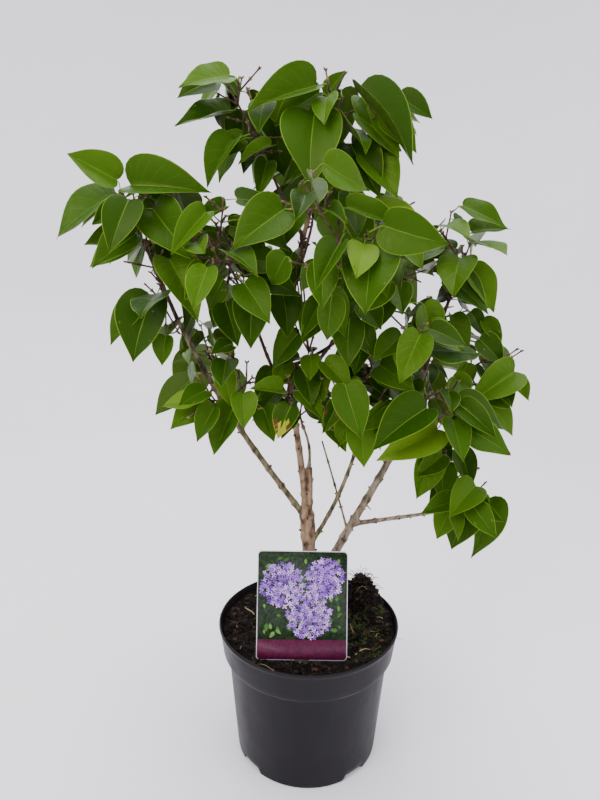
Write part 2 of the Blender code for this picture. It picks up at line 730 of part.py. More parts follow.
def main():
    for obj in list(bpy.data.objects):
        bpy.data.objects.remove(obj)
    leaf = material("leaf", LEAF_COLOUR, 0.45)
    bark = material("bark", BARK_COLOUR, 0.85)
    pot(material("pot plastic", POT_COLOUR, 0.4))
    soil(material("soil", SOIL_COLOUR, 0.95))
    new_object("card", *card_mesh(), material("card", CARD_COLOUR, 0.35))
    for name in LIMBS:
        limb(name, bark)
    for name, (shoots, leaves) in grow_crown().items():
        meshes = [shoot_mesh(shoot) for shoot in shoots] + [leaf_mesh(one) for one in leaves]
        unite(name, meshes, leaf)


if __name__ == "__main__":
    main()
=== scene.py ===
"""The looks of a potted lilac bush: its pot, soil, card, bark, twigs and leaves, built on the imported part.

Every length is in metres, but for the two tables that say they are in millimetres. The crown's
shoots and leaves grow by the part's own seeded rule, written again here, and then by the same rule
go on to finer twigs and smaller leaves where there is room.
"""

import math
import random

import bpy
import numpy as np
from mathutils import Matrix, Vector, noise
from mathutils.bvhtree import BVHTree


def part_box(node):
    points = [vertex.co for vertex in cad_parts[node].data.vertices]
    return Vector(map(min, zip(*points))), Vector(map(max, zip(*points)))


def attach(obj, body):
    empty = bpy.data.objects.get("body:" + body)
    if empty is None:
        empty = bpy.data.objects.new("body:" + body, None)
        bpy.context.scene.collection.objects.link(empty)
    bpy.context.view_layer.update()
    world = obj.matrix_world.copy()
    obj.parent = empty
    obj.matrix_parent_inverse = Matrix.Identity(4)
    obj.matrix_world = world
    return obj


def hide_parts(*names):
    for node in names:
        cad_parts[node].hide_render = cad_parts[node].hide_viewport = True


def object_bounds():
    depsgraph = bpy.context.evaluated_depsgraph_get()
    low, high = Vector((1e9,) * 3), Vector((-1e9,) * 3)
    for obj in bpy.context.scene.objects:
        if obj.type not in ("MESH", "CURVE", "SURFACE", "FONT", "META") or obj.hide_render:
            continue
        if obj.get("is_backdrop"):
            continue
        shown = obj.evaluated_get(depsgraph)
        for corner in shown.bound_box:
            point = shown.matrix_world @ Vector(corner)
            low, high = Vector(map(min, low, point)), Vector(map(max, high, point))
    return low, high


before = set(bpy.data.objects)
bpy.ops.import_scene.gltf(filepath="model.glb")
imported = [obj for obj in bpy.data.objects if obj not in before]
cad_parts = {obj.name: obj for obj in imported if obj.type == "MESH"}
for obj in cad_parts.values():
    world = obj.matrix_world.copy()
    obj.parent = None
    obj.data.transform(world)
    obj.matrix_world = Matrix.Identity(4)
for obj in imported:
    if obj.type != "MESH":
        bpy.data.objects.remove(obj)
CAD_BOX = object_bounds()

GAP = 0.0003

POT_HEIGHT = 0.177
RIM_RADIUS = 0.115
COLLAR_HEIGHT = 0.040
COLLAR_FOOT_RADIUS = 0.1106
BODY_TOP_RADIUS = 0.103
BASE_RADIUS = 0.092
WALL = 0.0018
FLOOR = 0.003
NOTCH_BEARINGS = (-50, 40, 130, 220)
NOTCH_WIDTH = 0.034
NOTCH_HEIGHT = 0.0085
NOTCH_DEPTH = 0.010
INNER_FLOOR = FLOOR + 0.0086
# The rim's section: out from its radius and down from its top.
RIM_SHAPE = (
    (0.0006, 0.0034), (0.0008, 0.0014), (0.0003, 0.0003), (-0.0006, 0), (-0.0014, 0.0003),
    (-WALL, 0.0012), (-WALL - 0.0008, 0.010),
)

SOIL_TOP = POT_HEIGHT - 0.011
SOIL_FLAT_RADIUS = 0.022
SOIL_RIPPLE = 0.003
SOIL_FLOOR = FLOOR + 0.0095
SOIL_SHELF = POT_HEIGHT - COLLAR_HEIGHT + WALL + GAP
SOIL_SLOPE = (RIM_RADIUS - COLLAR_FOOT_RADIUS) / COLLAR_HEIGHT
SOIL_EDGE = COLLAR_FOOT_RADIUS - WALL - GAP + SOIL_SLOPE * (SOIL_TOP - SOIL_RIPPLE - SOIL_SHELF)
SOIL_EVEN_FROM = 0.94
SOIL_EDGE_TOP = POT_HEIGHT - 0.006
HEAP_PLACE = Vector((0.072, 0.052))
HEAP_WIDTH = 0.022
HEAP_HEIGHT = 0.042
# Clods and grains, each as a scale and a height, and the same for the heap's lumps.
SOIL_CLODS = ((90, 0.0034), (260, 0.0016), (700, 0.0009))
HEAP_LUMPS = (210, 0.010)
SOIL_ROUGH_FROM = (0.012, 0.022)
# A bank of soil against the pot's wall at the right.
BANK_PLACE = (0.095, 0.022)
BANK_SIZE = (0.020, 0.034)
BANK_HEIGHT = 0.013

CARD_WIDTH = 0.108
CARD_HEIGHT = 0.128
CARD_THICKNESS = 0.0008
CARD_CORNER = 0.005
CARD_FOOT = Vector((-0.009, -0.077, SOIL_TOP + 0.003))
CARD_LEAN = math.radians(17)
STAKE_WIDTH = 0.018
STAKE_LENGTH = 0.020

TRUNK_RADIUS = 0.0083
FLARE = 0.0035
FLARE_HEIGHT = 0.012
KNOT = 0.0014
KNOT_Z = 0.300
KNOT_HALF_HEIGHT = 0.010
FORK_Z = 0.328
FORK_STEP = 0.004
LEADER_RADIUS = 0.0050
LEADER_TIP_RADIUS = 0.0025

TRUNK_SIDES = 8
TRUNK_STEP = 0.020
LIMB_SIDES = 6
LIMB_STEP = 0.030
TWIG_SIDES = 3
SIDE_SHOOT_RADIUS = 0.0011
TWIG_TIP_RADIUS = 0.0008
PETIOLE_RADIUS = 0.0007
ROOT_SINK = 0.0003
STALK_HALF_BASE = math.sqrt(3) / 2

# Half of a heart-shaped blade, from its foot lobe to its shoulder: across as a share of the
# blade's width, and along as a share of its length.
BLADE_OUTLINE = ((0.26, -0.06), (0.50, 0.26), (0.30, 0.66))
MIDRIB_SHARE = 0.42
BLADE_THICKNESS = 0.014

# Ranges that each leaf is drawn from. Angles are in degrees.
LEAF_FORWARD = (0.2, 0.7)
LEAF_LIFT = (-0.1, 0.5)
LEAF_FLATTENING = 0.5
STALK_SHARE = (0.18, 0.30)
LEAF_DROOP = (5, 65)
LEAF_ROLL = 16
LEAF_WIDTH = (0.68, 0.80)
LEAF_FOLD = (8, 28)
LEAF_ARCH = (0.06, 0.20)
STEM_LEAF_SIZE = (0.78, 1.0)
SIDE_LEAF_SIZE = (0.62, 0.92)
LEAF_TRIES = 8
LEAF_ROOM = 0.0012
STALK_CLEAR_FROM = 0.35
SHOOT_CLEAR_FROM = 0.2
LEAF_SPREAD = 0.3
SHOOT_SPREAD = 0.4

# Blades turn up and outwards: to the front before this Y, and to the back behind it.
BACK_Y = 0.045
FRONT_LIGHT = Vector((0, -0.75, 0.65))
BACK_LIGHT = Vector((0, 0.75, 0.65))

INTERNODE = 0.030
STEM_BOW = Vector((0, 0, 0.003))
STEM_BARE_SHARE = 0.25
SIDE_BARE_SHARE = 0.5
LAST_SHARE = 0.96
SHOOT_FORWARD = (0.4, 0.9)
SHOOT_LIFT = 0.15
SHOOT_LENGTH = (0.55, 1.0)
SHORT_SHOOT = 0.033
SITES_PER_SEED = 100
SHOOT_TRIES = 4
CROWN_CENTRE = Vector((0.0, 0.0, 0.55))
SPACE_SAMPLES = 7

# Finer twigs and smaller leaves that the part's solids leave out.
FINE_REACH = 0.034
FILL_SIZE = (0.42, 0.92)

# The solids' leaves are larger than life where few must fill a mass. Here each is brought down to
# this share of its size, and turned a little where it has room. All others keep 0.88 of theirs.
LIFE_SIZE = {
    "front_foliage": 0.57, "centre_right_foliage": 0.62, "right_front_foliage": 0.64,
    "mid_left_foliage": 0.78, "inner_right_foliage": 0.75, "inner_left_foliage": 0.80,
    "upper_right_foliage": 0.66, "top_right_foliage": 0.76, "low_left_foliage": 0.78,
}
OTHER_LIFE_SIZE = 0.88
LIFE_SPREAD = (0.92, 1.08)

# Leaves that the photo shows plainly, in millimetres: the mass, the blade's foot and its tip, and
# last its roll about its midrib in degrees.
SHOWN_LEAVES = (
    ("left_tip", -210, -40, 710, -255, -55, 735, -15),
    ("left_tip", -195, -40, 705, -115, -65, 705, 10), ("left_tip", -215, -35, 695, -280, -55, 665, 20),
    ("left_tip", -190, -50, 655, -235, -70, 625, -10),
    ("left_tip", -170, -50, 680, -130, -90, 635, 15),
    ("left_tip", -155, -50, 630, -115, -90, 575, -10), ("left_tip", -175, -50, 590, -200, -80, 530, 5),
    ("upper_left", -110, -5, 815, -150, -20, 800, -10),
    ("upper_left", -95, 0, 785, -150, -25, 770, 15), ("upper_left", -90, 10, 805, -105, 20, 830, 0),
    ("upper_left", -90, -10, 755, -120, -40, 710, 10), ("top", -5, -30, 805, -75, -50, 785, -10),
    ("top", -5, -40, 775, -15, -80, 710, 5), ("top_right", 40, -30, 800, 100, -60, 735, -20),
    ("top_right", 85, -10, 800, 120, -20, 780, 10), ("upper_right", 60, -20, 685, 115, -40, 675, -15),
    ("upper_right", 20, -50, 680, 55, -90, 630, 10), ("right", 180, 20, 665, 225, 20, 675, -20),
    ("right", 150, -10, 615, 195, -30, 580, 5), ("right", 130, 0, 650, 95, -30, 625, 10),
    ("right_side", 235, -10, 500, 250, -20, 475, 0), ("right_side", 230, -20, 510, 175, -50, 480, -10),
    ("low_right", 190, -30, 365, 165, -50, 300, 10), ("low_right", 215, -20, 355, 200, -40, 280, -15),
    ("low_left", -85, -80, 480, -105, -100, 430, 10),
    ("low_left", -115, -70, 485, -155, -90, 460, -10),
    ("inner_left", -25, -80, 480, -40, -95, 450, 10), ("inner_right", 25, -80, 485, 10, -95, 455, -10),
    ("inner_right", 50, -80, 460, 55, -100, 420, 5),
    ("right_front", 130, -90, 460, 70, -115, 430, -15),
    ("right_front", 115, -100, 485, 55, -125, 455, 10), ("top_right", 55, -20, 745, 85, -50, 700, 10),
    ("mid_left", -65, -80, 595, -70, -100, 545, -5), ("inner_left", 5, -50, 580, -15, -70, 550, 10),
    ("inner_right", 10, -60, 525, 40, -80, 500, -10), ("right_side", 195, 0, 565, 220, -10, 540, 5),
    ("right_side", 205, -20, 470, 235, -35, 440, -10), ("left_tip", -160, -60, 550, -165, -70, 520, 0),
    ("inner_left", -35, -70, 495, -65, -90, 505, 10), ("upper_left", -50, -10, 750, -85, -30, 735, 10),
    ("front", -35, -80, 680, -85, -100, 645, -10), ("inner_left", -20, -30, 630, -30, -40, 605, 0),
    ("inner_left", 5, -60, 590, -15, -80, 555, -10), ("inner_right", 25, -40, 555, 60, -60, 535, 10),
    ("right", 175, 0, 625, 205, -20, 580, -10), ("right_side", 185, -30, 470, 205, -50, 430, 10),
    ("low_left", -105, -90, 480, -125, -100, 445, 5), ("low_left", -75, -90, 495, -70, -110, 465, -10),
    ("inner_right", 40, -70, 465, 25, -80, 435, 15), ("low_right", 150, -40, 415, 120, -50, 390, -10),
    ("low_right", 165, -40, 350, 145, -50, 315, 10), ("left_tip", -190, -40, 580, -225, -60, 545, 10),
    ("left_tip", -205, -30, 655, -250, -40, 650, -10), ("top_right", 45, -10, 800, 75, -30, 755, 10),
    ("right_side", 190, -10, 545, 220, -20, 520, 10), ("mid_left", -95, -50, 685, -125, -60, 670, 0),
    ("top_right", 35, -20, 750, 60, -50, 700, 10), ("upper_left", -55, 0, 735, -65, -20, 700, -10),
    ("inner_left", -20, -20, 685, -35, -40, 650, -10),
    ("inner_left", -25, -40, 640, -40, -60, 600, 10), ("inner_left", -35, -50, 595, -25, -70, 555, -5),
    ("inner_right", 55, -50, 550, 40, -70, 515, 10), ("centre_right", 75, -50, 595, 60, -80, 560, -10),
    ("mid_left", -95, -60, 585, -80, -80, 545, 10), ("low_right", 140, -30, 410, 120, -50, 365, -10),
    ("low_right", 175, -20, 415, 190, -40, 375, 10), ("low_left", -55, -70, 475, -40, -90, 445, 10),
    ("inner_right", 15, -60, 460, 35, -80, 430, -10), ("top", 10, 0, 805, 25, 0, 830, 0),
    ("top_right", 45, -20, 780, 85, -40, 740, -10),
)
SHOWN_WIDTH = (0.78, 0.94)
SHOWN_FOLD = (24, 50)
SHOWN_ARCH = (0.10, 0.24)
SHOWN_SEED = 5
LONG_STALK = 0.022
TWIG_SHORT_BY = 0.0132
TWIG_SAG = 0.04

# Where the photo was taken from.
VIEWER = Vector((-0.0153, -0.721, 0.639))
# The photo shows these lengths of limb, so no leaf hangs in front of them.
SEEN_LIMBS = (("left_bough", 0.55, 1.0), ("upper_left_bough", 0.2, 1.0), ("trunk", 0.83, 0.90))
SEEN_STEMS = ("left_tip_foliage", "upper_left_foliage")
SEEN_STEM_SHARE = 0.7
SEEN_ROOM = 0.0035
SEEN_DEPTH = 0.004
# Half of the outline of a leaf, for telling what it covers: shares of its width and length.
SEEN_OUTLINE = ((0, 0), (0.40, 0.02), (0.50, 0.30), (0.33, 0.66), (0, 1))

# Where the photo shows sky beside and between the leaves, in millimetres: across, height and radius
# of a round patch on the plane through the trunk. No leaf hangs in front of one or behind it.
OPEN_SKY = (
    (-245, 590, 25), (-215, 565, 13), (-195, 530, 15), (-105, 705, 15), (-125, 765, 13),
    (215, 385, 15), (105, 830, 15), (200, 635, 13), (135, 355, 10), (90, 570, 10), (130, 610, 10),
    (-90, 610, 7), (-55, 435, 10), (10, 425, 10), (-255, 655, 10), (-220, 725, 10), (-75, 525, 15),
    (-35, 585, 10), (150, 710, 18), (120, 730, 15), (-280, 615, 20), (-280, 765, 18), (-20, 845, 18),
    (30, 840, 10), (-85, 550, 7), (25, 380, 33), (-230, 485, 20), (255, 530, 15), (240, 590, 18),
    (110, 370, 18), (-70, 825, 12), (45, 835, 12), (125, 695, 11), (105, 705, 7), (-195, 605, 12),
    (-170, 530, 10), (240, 350, 10),
)
SETTLE_TRIES = 6
SETTLE_TURN = 24
EXTRA_FOLD = (8, 28)
EXTRA_ARCH = (0.0, 0.14)

# The margin of a blade from its foot round one side to its tip: across as a share of its width,
# and along as a share of its length.
MARGIN = (
    (0.0, 0.0), (0.09, -0.045), (0.22, -0.062), (0.365, -0.015), (0.462, 0.095), (0.500, 0.230),
    (0.484, 0.380), (0.415, 0.535), (0.300, 0.690), (0.160, 0.830), (0.050, 0.935), (0.0, 1.0),
)
FIRST_ROW = 0.02
LAST_ROW = 0.988
VEINS = (0.19, 0.31, 0.42, 0.53, 0.64, 0.75, 0.86)
SMALL_LEAF_VEINS = (0.22, 0.40, 0.58, 0.76)
VEIN_HALF_SHARE = 0.0025
VEIN_REACH = 0.75
MIDRIB_SWEEP = 3.2
RIB_HALF_WIDTH = 0.0100
FOLD_ROUNDING = 0.03
COLUMNS = (0.02, 0.20, 0.40, 0.60, 0.80, 0.976, 1.0)
SMALL_LEAF_COLUMNS = (0.02, 0.34, 0.67, 0.966, 1.0)
SMALL_LEAF = 0.045
BLADE_DEPTH = 0.00028
PUFF = 0.0075
CUP = 0.5
EDGE_WAVE = (0.004, 0.022)
EDGE_WAVES = (0.8, 2.2)
TWIST = 0.40
TIP_BEND = 0.09
STALK_RADII = (0.00095, 0.00062)
RIB_TIP_RADIUS = 0.00022
STALK_STEPS = 4
STALK_SIDES = 6
RIB_SHARES = (0.12, 0.34, 0.58)
# What each face of a blade is.
BLADE, LINE, RIB, EDGE, UNDER = range(5)

# Plain colours, dealt out leaf by leaf: four greens, then the parts of a leaf.
GREENS = (
    ("leaf dark", (0.0135, 0.043, 0.0012)),
    ("leaf green", (0.0230, 0.065, 0.0016)),
    ("leaf light", (0.0390, 0.096, 0.0028)),
    ("leaf young", (0.080, 0.155, 0.0070)),
)
GREEN_WEIGHTS = (0.32, 0.42, 0.22, 0.04)
LEAF_PARTS = (
    ("leaf under", (0.050, 0.098, 0.012)),
    ("leaf rib", (0.090, 0.165, 0.014)),
    # The margin's pale green is partly its own paler colour and partly painted glow of light shining through
    # the thin edge.
    ("leaf edge", (0.120, 0.205, 0.014)),
    ("leaf yellow", (0.260, 0.270, 0.020)),
    ("leaf brown", (0.075, 0.030, 0.012)),
)
UNDER_SLOT, RIB_SLOT, MARGIN_AND_GLOW_SLOT, YELLOW_SLOT, BROWN_SLOT = range(4, 9)
LEAF_SHINE = 0.13
LEAF_SHINE_TINT = (1.0, 1.0, 0.45, 1)
LEAF_ROUGHNESS = (0.31, 0.46)

# Where the few leaves hang that aren't plain green.
ODD_LEAVES = (
    ((-0.030, -0.088, 0.460), "yellow"), ((-0.095, -0.055, 0.520), "bright"),
    ((0.020, -0.088, 0.468), "brown"), ((0.185, -0.035, 0.330), "brown"),
)
YELLOW_FROM = 0.42
SPOT_SHARE = 0.10
BROWN_FROM = (0.2, 0.5)
BROWN_HALF = 0.075

SHOOT_STEP = 0.003
SHOOT_SIDES = 8
NODE_SWELLING = 0.34
NODE_HALF_LENGTH = 0.0020
BUD_LENGTH = 0.0040
BUD_RADIUS = 0.0012
# A bud's width along its length, from its foot.
BUD_SHAPE = ((0, 0.7), (0.25, 1.0), (0.55, 0.9), (0.85, 0.4), (1, 0.05))
BUD_MISSING = 0.2
STEM_SINK = 0.003
# The leader's scales in two runs: from this share of its length, this far apart and so many.
LEADER_SCALES = ((0.845, 0.0015, 30), (0.90, 0.008, 10))
SCALE_TURN = 2.4

BARK_STEP = 0.0022
BARK_SIDES = 18
TRUNK_BARK_SIDES = 44
BARK_NODE_GAP = 0.030
BARK_NODE_SWELLING = 0.20
SCAR_HEIGHT = 0.0010
SCAR_WIDTH = 0.38
SCAR_LENGTH = 1 / 1.4
COLLAR_SWELLING = 0.45
COLLAR_LENGTH = 0.005
BARK_RELIEF = 0.055
# Which bark each limb wears: all others wear the dark one of young growth.
BARKS = {
    "trunk": "bark tan", "stub": "bark tan", "left_bough": "bark olive", "right_bough": "bark grey",
    "low_right_bough": "bark grey", "snag": "bark grey", "bare_shoot": "bark olive",
    "inner_right_bough": "bark olive", "stub_shoot": "bark olive",
}

POT_SEGMENTS = 240
SOIL_SEGMENTS = 200
SOIL_FINE_RINGS = 56
CRUMBS = 2600
CRUMB_SIZE = (0.0006, 0.0034)
CRUMB_WEIGHTS = (0.74, 0.22, 0.04)
FIBRES = 420
FIBRE_RADIUS = (0.00025, 0.0006)
FIBRE_WEIGHTS = (0.80, 0.14, 0.06)
CHIPS = 90
MOSS_TUFTS = 150
MOSS_BLADES = 9
MOSS_PLACE = (0.072, -0.012)
MOSS_SPREAD = (0.018, 0.030)
MOSS_HEIGHT = (0.0015, 0.0035)
MOSS_RADII = (0.0005, 0.0004, 0.0001)
STRAWS = ((0.050, -0.066), (0.056, -0.062), (-0.072, 0.020))
# A straw's length, lift and radius.
STRAW_SIZE = (0.022, 0.12, 0.0008)
TRUNK_ROOM = 0.016
SOIL_EDGE_ROOM = 0.004
HEAP_SPREAD = 0.012

# The card's print: its round flower heads as across, up and radius, and one leaf's outline.
CARD_FRONT = -CARD_THICKNESS / 2
FIELD_FRONT = CARD_FRONT - 0.00006
BAND_FRONT = CARD_FRONT - 0.00012
PRINT_FRONT = CARD_FRONT - 0.00010
FLORET_FRONT = CARD_FRONT - 0.00018
FLORET_DEPTH = 0.00050
FLORET_TURN = 2.39996
PRINT_CORNER = CARD_CORNER - 0.0006
BAND_TOP = 0.024
CARD_CLUSTERS = ((-0.024, 0.088, 0.026), (0.027, 0.096, 0.023), (0.008, 0.052, 0.027))
FLORETS = 170
PRINT_LEAVES = 70
PRINT_BLADE = ((0.3, -0.26), (0.65, -0.22), (1, 0), (0.65, 0.22), (0.3, 0.26), (0, 0))

# Each bark's dark, middle and light.
BARK_COLOURS = {
    "bark tan": ((0.040, 0.024, 0.012), (0.165, 0.100, 0.055), (0.290, 0.200, 0.125)),
    "bark olive": ((0.028, 0.023, 0.009), (0.095, 0.075, 0.034), (0.180, 0.145, 0.080)),
    "bark grey": ((0.040, 0.030, 0.018), (0.135, 0.102, 0.066), (0.240, 0.195, 0.140)),
    "bark dark": ((0.018, 0.009, 0.007), (0.050, 0.024, 0.017), (0.105, 0.058, 0.040)),
    "bark cut": ((0.020, 0.014, 0.010), (0.090, 0.060, 0.035), (0.190, 0.130, 0.080)),
    "bud": ((0.050, 0.045, 0.012), (0.110, 0.090, 0.025), (0.170, 0.140, 0.045)),
}
# Each mottled finish: its colours, their scale and stretch, the roughness, the bumps and the shine.
EVEN = (1, 1, 1)
FINISHES = {
    "pot plastic": (
        ((0.35, (0.0075, 0.0066, 0.0082)), (0.60, (0.0105, 0.0095, 0.0115)), (0.80, (0.016, 0.015, 0.017))),
        14, (1, 1, 0.5), (0.34, 0.46), ((900, EVEN, 0.00006), (30, EVEN, 0.0008)), 0.11,
    ),
    "peat": (
        ((0.40, (0.0020, 0.0014, 0.0010)), (0.58, (0.0070, 0.0045, 0.0030)), (0.75, (0.022, 0.013, 0.008))),
        260, EVEN, (0.80, 0.98), ((350, EVEN, 0.0022), (1500, EVEN, 0.0006)), 0.15,
    ),
    "peat brown": (
        ((0.35, (0.010, 0.006, 0.004)), (0.60, (0.030, 0.017, 0.010)), (0.80, (0.055, 0.032, 0.018))),
        300, EVEN, (0.80, 0.98), ((900, EVEN, 0.0004),), 0.3,
    ),
    "peat red": (
        ((0.35, (0.030, 0.011, 0.006)), (0.60, (0.075, 0.030, 0.015)), (0.80, (0.115, 0.052, 0.026))),
        300, EVEN, (0.75, 0.95), ((900, EVEN, 0.0004),), 0.3,
    ),
    "straw": (
        ((0.35, (0.330, 0.240, 0.120)), (0.65, (0.480, 0.370, 0.200))),
        200, EVEN, (0.60, 0.80), ((900, EVEN, 0.0002),), 0.4,
    ),
    "moss": (
        ((0.35, (0.040, 0.065, 0.010)), (0.65, (0.095, 0.130, 0.020))),
        300, EVEN, (0.80, 0.95), ((900, EVEN, 0.0003),), 0.3,
    ),
}
# The card's and its print's flat colours, each mottled from a dark to a light.
CARD_COLOURS = (
    ("card white", (0.560, 0.520, 0.600), (0.640, 0.600, 0.680)),
    ("card field", (0.004, 0.010, 0.004), (0.020, 0.040, 0.014)),
    ("card band", (0.050, 0.003, 0.020), (0.085, 0.006, 0.036)),
    ("card leaf", (0.020, 0.075, 0.010), (0.045, 0.120, 0.018)),
    ("card leaf light", (0.060, 0.150, 0.025), (0.110, 0.220, 0.045)),
    ("floret pale", (0.430, 0.260, 0.620), (0.620, 0.440, 0.780)),
    ("floret", (0.230, 0.095, 0.440), (0.340, 0.160, 0.560)),
    ("floret deep", (0.085, 0.025, 0.240), (0.150, 0.050, 0.340)),
)

STAGE_RADIUS = 2.6
STAGE_BEND = 0.9
STAGE_HEIGHT = 3.2
STAGE_SIDES = 72
STAGE_SINK = 0.0002
STAGE_PAPER = (
    ((0.30, (0.830, 0.815, 0.850)), (0.70, (0.850, 0.835, 0.870))),
    3, EVEN, (0.75, 0.90), ((40, EVEN, 0.0004),), 0.3,
)
# Each light's name, place, aim, size, power and colour.
LIGHTS = (
    ("key", (-1.1, -1.5, 1.9), (0, 0, 0.45), (1.6, 1.3), 44, (1.0, 0.985, 0.96)),
    ("fill", (1.7, -1.1, 1.3), (0, 0, 0.40), (1.6, 1.6), 14, (0.96, 0.98, 1.0)),
    ("top", (0.1, 0.3, 2.4), (0, 0, 0.4), (2.0, 2.0), 52, (1.0, 1.0, 1.0)),
    ("back", (-0.8, 1.8, 1.5), (0, 0, 0.5), (1.6, 1.4), 12, (1.0, 1.0, 1.0)),
)

TRUNK_FOOT = Vector((-0.001, 0.010, SOIL_TOP + GAP))
# Each limb: the limb it leaves, the share of that limb's length where it does, its tip, how far
# its middle bows off the straight line, and its foot and tip radius.
LIMBS = {
    "trunk": (None, 0, (0.001, 0, 0.717), (-0.021, 0.003, 0), 0, 0),
    "stub": ("trunk", 0.25, (-0.003, 0.007, 0.380), (0.001, 0, 0), 0.0050, 0.0043),
    "stub_shoot": ("stub", 1, (-0.012, -0.010, 0.440), (0.004, 0.002, 0), 0.0019, 0.0014),
    "left_bough": ("trunk", 0.26, (-0.153, -0.030, 0.565), (-0.005, -0.008, -0.004), 0.0038, 0.0025),
    "low_left_bough": ("left_bough", 0.60, (-0.098, -0.046, 0.472), (0, 0, 0.003), 0.0020, 0.0015),
    "mid_left_bough": ("trunk", 0.69, (-0.074, -0.042, 0.616), (0.007, -0.005, 0), 0.0023, 0.0017),
    "upper_left_bough": ("trunk", 0.89, (-0.054, 0.020, 0.733), (-0.002, 0.004, 0), 0.0021, 0.0016),
    "top_right_bough": ("trunk", 0.97, (0.027, -0.010, 0.734), (0, -0.002, -0.003), 0.0019, 0.0015),
    "upper_right_bough": ("trunk", 0.80, (0.050, 0.006, 0.655), (-0.002, 0, 0.004), 0.0021, 0.0016),
    "front_bough": ("trunk", 0.73, (0.012, -0.048, 0.612), (0, -0.006, -0.002), 0.0021, 0.0016),
    "centre_right_bough": ("trunk", 0.62, (0.045, -0.022, 0.560), (0.002, -0.003, -0.004), 0.0022, 0.0016),
    "inner_right_bough": ("trunk", 0.19, (0.059, -0.025, 0.444), (0.006, 0.003, -0.006), 0.0029, 0.0020),
    "right_bough": ("trunk", 0.02, (0.133, 0.010, 0.505), (0.002, -0.011, 0), 0.0060, 0.0032),
    "snag": ("right_bough", 0.49, (0.075, 0.000, 0.329), (0, 0, 0), 0.0009, 0.0007),
    "bare_shoot": ("right_bough", 0.37, (0.013, 0.020, 0.411), (0, 0, 0.001), 0.0014, 0.0010),
    "low_right_bough": (
        "right_bough", 0.40, (0.149, -0.020, 0.335), (-0.001, -0.003, 0.001), 0.0031, 0.0018,
    ),
    "right_front_bough": ("right_bough", 0.78, (0.137, -0.045, 0.450), (0.004, 0, -0.006), 0.0024, 0.0017),
    "right_side_bough": ("right_bough", 0.88, (0.176, 0.004, 0.500), (0.002, 0, -0.004), 0.0023, 0.0017),
    "back_left_bough": ("trunk", 0.52, (-0.078, 0.078, 0.560), (0, 0.004, -0.010), 0.0028, 0.0019),
    "back_right_bough": ("trunk", 0.57, (0.058, 0.080, 0.580), (0, 0.004, -0.010), 0.0028, 0.0019),
    "back_top_bough": ("trunk", 0.81, (-0.004, 0.062, 0.672), (0, 0.004, -0.006), 0.0022, 0.0016),
    "back_low_left_bough": ("left_bough", 0.50, (-0.108, 0.052, 0.468), (0, 0.004, -0.006), 0.0023, 0.0017),
    "back_low_right_bough": (
        "right_bough", 0.66, (0.122, 0.066, 0.452), (0, 0.003, -0.006), 0.0025, 0.0018,
    ),
}
# How far a limb sways as an S: the others don't.
SWAYS = {
    "trunk": (0.012, 0.001, 0), "left_bough": (0, 0.003, 0), "right_bough": (-0.005, 0, 0.002),
}

# Each mass: the limb whose tip its stem meets, the stem's tip, how far side shoots reach, the
# share of the nodes' sides that branch, its longest leaf and its seed.
MASSES = {
    "left_tip_foliage": ("left_bough", (-0.210, -0.035, 0.700), 0.075, 0.4, 0.085, 112),
    "right_foliage": ("right_bough", (0.180, 0.020, 0.655), 0.070, 0.3, 0.075, 61),
    "top_foliage": ("trunk", (0.025, -0.015, 0.800), 0.065, 0.5, 0.085, 18),
    "top_right_foliage": ("top_right_bough", (0.060, -0.010, 0.785), 0.055, 0.5, 0.085, 232),
    "upper_left_foliage": ("upper_left_bough", (-0.100, 0.000, 0.815), 0.055, 0.4, 0.070, 45),
    "low_left_foliage": ("low_left_bough", (-0.085, -0.075, 0.490), 0.060, 0.7, 0.075, 119),
    "mid_left_foliage": ("mid_left_bough", (-0.120, -0.065, 0.660), 0.080, 0.8, 0.085, 45),
    "low_right_foliage": ("low_right_bough", (0.185, -0.020, 0.355), 0.065, 0.5, 0.065, 213),
    "upper_right_foliage": ("upper_right_bough", (0.095, -0.005, 0.680), 0.055, 0.4, 0.080, 148),
    "front_foliage": ("front_bough", (0.025, -0.120, 0.660), 0.075, 0.7, 0.095, 162),
    "centre_right_foliage": ("centre_right_bough", (0.095, -0.065, 0.590), 0.075, 0.6, 0.090, 100),
    "right_front_foliage": ("right_front_bough", (0.140, -0.095, 0.480), 0.050, 0.7, 0.085, 206),
    "right_side_foliage": ("right_side_bough", (0.210, -0.010, 0.525), 0.065, 0.4, 0.060, 257),
    "inner_left_foliage": ("stub_shoot", (-0.025, -0.040, 0.485), 0.075, 0.6, 0.065, 164),
    "inner_right_foliage": ("inner_right_bough", (0.035, -0.055, 0.505), 0.065, 0.6, 0.070, 164),
    "back_left_foliage": ("back_left_bough", (-0.130, 0.120, 0.655), 0.070, 0.4, 0.080, 69),
    "back_right_foliage": ("back_right_bough", (0.110, 0.125, 0.670), 0.060, 0.4, 0.080, 74),
    "back_top_foliage": ("back_top_bough", (0.005, 0.100, 0.770), 0.065, 0.4, 0.085, 5),
    "back_low_left_foliage": ("back_low_left_bough", (-0.145, 0.105, 0.510), 0.060, 0.4, 0.070, 5),
    "back_low_right_foliage": ("back_low_right_bough", (0.160, 0.110, 0.500), 0.065, 0.4, 0.070, 40),
}


def line_point(line, share):
    """The point at this share of a line, which bows and sways off the straight way to its tip."""
    start, tip, bow, sway = line
    turn = math.pi * share
    return start.lerp(tip, share) + bow * math.sin(turn) + sway * math.sin(2 * turn)


def line_heading(line, share):
    near = line_point(line, max(share - 0.01, 0))
    far = line_point(line, min(share + 0.01, 1))
    return (far - near).normalized()


def line_length(line):
    points = [line_point(line, step / 8) for step in range(9)]
    return sum((b - a).length for a, b in zip(points, points[1:]))


def limb_line(name):
    parent, share, tip, bow = LIMBS[name][:4]
    start = line_point(limb_line(parent), share) if parent else TRUNK_FOOT
    return start, Vector(tip), Vector(bow), Vector(SWAYS.get(name, (0, 0, 0)))


